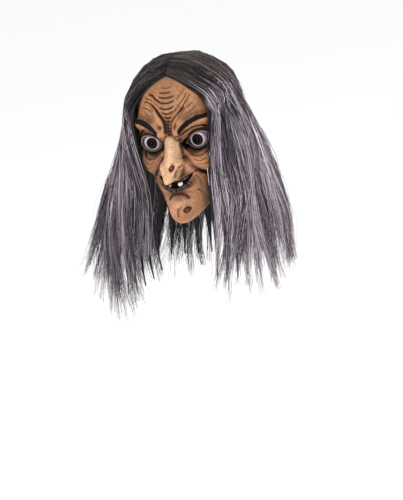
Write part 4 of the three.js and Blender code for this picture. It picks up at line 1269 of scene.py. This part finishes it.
def strand_waves(t, clump, rng):
    """How far each strand swings across the hair and off the head, by itself and with its clump."""
    count = len(t)
    phase = rng.uniform(0, FULL_TURN, (count, 2))
    wave = rng.uniform(1.4, 3.6, count)[:, None]
    stray = np.where(rng.uniform(0, 1, count) < STRAY_SHARE, STRAY_SWING, 1)
    swing = (rng.uniform(0.6, 3.8, count) * stray)[:, None] * t ** 1.2
    slow = clump["swing"][:, None] * t ** 1.2
    clump_turn = FULL_TURN * clump["wave"][:, None] * t
    sideways = swing * np.sin(FULL_TURN * wave * t + phase[:, :1])
    sideways += slow * np.sin(clump_turn + clump["phase"][:, :1])
    sideways += rng.normal(0, 1.8, count)[:, None] * smooth(t / 0.3)
    outward = 0.7 * swing * np.sin(FULL_TURN * 0.8 * wave * t + phase[:, 1:])
    outward += 0.5 * slow * np.sin(clump_turn + clump["phase"][:, 1:])
    return sideways, outward


def build_strands(name, sheet, first, last, count, material, rng):
    """Loose strands between two places of the hair, gathered in clumps."""
    clumps = draw_clumps(sheet, first, last, count // STRANDS_PER_CLUMP, rng)
    place = sheet.scatter(first, last, rng.uniform(0, 1, count))
    apart = place[:, None] - clumps["place"][None, :]
    nearest = np.abs(apart + rng.normal(0, 0.018, apart.shape)).argmin(1)
    clump = {key: values[nearest] for key, values in clumps.items()}
    layer = rng.uniform(0, 1, count) ** 0.75
    shade = 0.62 * clump["shade"] + 0.38 * rng.uniform(0, 1, count) + rng.normal(0, 0.1, count)
    bright = rng.uniform(0, 1, count) < BRIGHT_SHARE
    shade = np.where(bright, 1.0, np.clip(shade, 0, 1))
    layer = np.where(bright, np.maximum(layer, 0.85), layer)
    end = clump["end"] * (1 - 0.14 * rng.uniform(0, 1, count) ** 2)
    t = np.linspace(0, 1, STRAND_STEPS)[None, :] * end[:, None]
    gather = (0.85 * smooth((t - 0.1) / 0.75)) * rng.uniform(0.65, 1.05, count)[:, None]
    where = place[:, None] + (clump["place"] - place)[:, None] * gather
    across = unit(sheet.read(sheet.across, where, t))
    up = unit(sheet.read(sheet.up, where, t))
    thick = LOCK_THICKNESS * (0.45 + 0.55 * smooth(t / 0.25)) * (1 - 0.45 * smooth((t - 0.6) / 0.4))
    offset = (layer[:, None] - 0.3 + clump["loft"][:, None] * smooth(t / 0.4)) * thick
    sideways, outward = strand_waves(t, clump, rng)
    base = sheet.read(sheet.lines, where, t)
    lines = base + across * sideways[..., None] + up * (offset + outward)[..., None]
    rolling = 9.5 * np.sin(FULL_TURN * (2.4 * t + 1.7 * where) + sheet.side) * smooth((t - 0.28) / 0.45)
    lines += across * rolling[..., None]
    sweep = 24 if sheet.side < 0 else 14
    lines[..., 0] += sheet.side * sweep * bell((where - 0.3) / 0.25) * smooth((t - 0.45) / 0.5)
    fine = (rng.uniform(0, 1, count) < FINE_SHARE) | bright
    thickest = 0.85 if first < 0.6 else 1.05
    width = np.where(fine, rng.uniform(0.28, 0.42, count), rng.uniform(0.5, thickest, count))[:, None]
    radius = width * (1 - 0.7 * smooth((t / end[:, None] - 0.7) / 0.3))
    points, quads, caps = fibre_mesh(lines, radius)
    late = rng.uniform(0, 1, (count, 1))
    whole = np.ones_like(t)
    colour = hair_shade(t, shade[:, None] * whole, layer[:, None] * whole, late, sheet.side)
    paint = np.repeat(colour.reshape(-1, 3), FIBRE_SIDES, axis=0)
    wear(new_piece(name, points, quads, caps, paint), material)


def build_under_hair(name, sheet, material, rng):
    """Locks painted near black as the shade deep in the hair, closing it behind its loose strands."""
    all_points, all_quads, all_caps, all_paint = [], [], [], []
    count = 0
    turn = ring_angles(UNDER_SIDES)
    t = np.linspace(0.0, 0.95, UNDER_STEPS)
    taper = smooth((t - 0.7) / 0.25)
    fullness = 0.72 + 0.23 * smooth((t - 0.35) / 0.2)
    thick = 3.4 * (1 - 0.9 * taper)

    def read(table, place):
        return sheet.read(table, np.full(UNDER_STEPS, place), t)

    for k in range(UNDER_LOCKS):
        place, from_place, to_place = sheet.scatter(0, 1, (k + np.array([0.5, 0.0, 1.0])) / UNDER_LOCKS)
        base = read(sheet.lines, place)
        across = unit(read(sheet.across, place))
        up = unit(read(sheet.up, place))
        room = np.linalg.norm(read(sheet.lines, to_place) - read(sheet.lines, from_place), axis=1)
        width = np.maximum(fullness * room, 7 * smooth(t / 0.3)) * (1 - 0.94 * taper)
        ridges = 1 + 0.16 * np.sin(5 * turn + rng.uniform(0, 6))[None, :]
        ring = (across[:, None] * (np.cos(turn)[None, :, None] * width[:, None, None])
                + up[:, None] * (np.sin(turn)[None, :] * ridges * thick[:, None])[..., None])
        rings = base[:, None] - up[:, None] * 1.5 + ring
        points, quads, caps = tube_mesh(rings, base[[0, -1]], count)
        count += len(points)
        all_points.append(points)
        all_quads.append(quads)
        all_caps.append(caps)
        # Near black all over: painted shade inside the hair
        shade = rng.uniform(0.6, 1.6, (1, UNDER_SIDES)) * np.ones((UNDER_STEPS, 1))
        all_paint.append((linear("#191618") * shade[..., None]).reshape(-1, 3))
        all_paint.append(np.tile(linear("#141213"), (2, 1)))
    hair = new_piece(name, np.concatenate(all_points), np.concatenate(all_quads), np.concatenate(all_caps),
                     np.concatenate(all_paint))
    wear(hair, material)
    return hair


def build_hair():
    scalp = Scalp()
    material = hair_material()
    zones = {"front": (0.0, 0.36), "side": (0.34, 0.68), "back": (0.66, 1.0)}
    for number, name in enumerate(("left", "right")):
        rng = np.random.default_rng(SEED + number)
        sheet = HairSide(name, scalp)
        under = build_under_hair("hair_under_" + name, sheet, material, rng)
        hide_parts("hair_" + name)
        for zone, (first, last) in zones.items():
            count = int(STRANDS * (sheet.share(last) - sheet.share(first)))
            build_strands("hair_" + name + "_" + zone, sheet, first, last, count, material, rng)


# The whole mask

back, right, up = look()
studio(back, right, up)
build_latex()
eye_gloss = eye_material()
build_eye("ball_left", 1, eye_gloss)
build_eye("ball_right", -1, eye_gloss)
enamel = tooth_material()
build_tooth("enamel_large", "tooth_large", "#f2efe8", enamel)
build_tooth("enamel_small", "tooth_small", "#8f887c", enamel)
fuzz = fuzz_material()
build_brow("fur_left", 1, fuzz, np.random.default_rng(SEED + 10))
build_brow("fur_right", -1, fuzz, np.random.default_rng(SEED + 11))
build_hair()
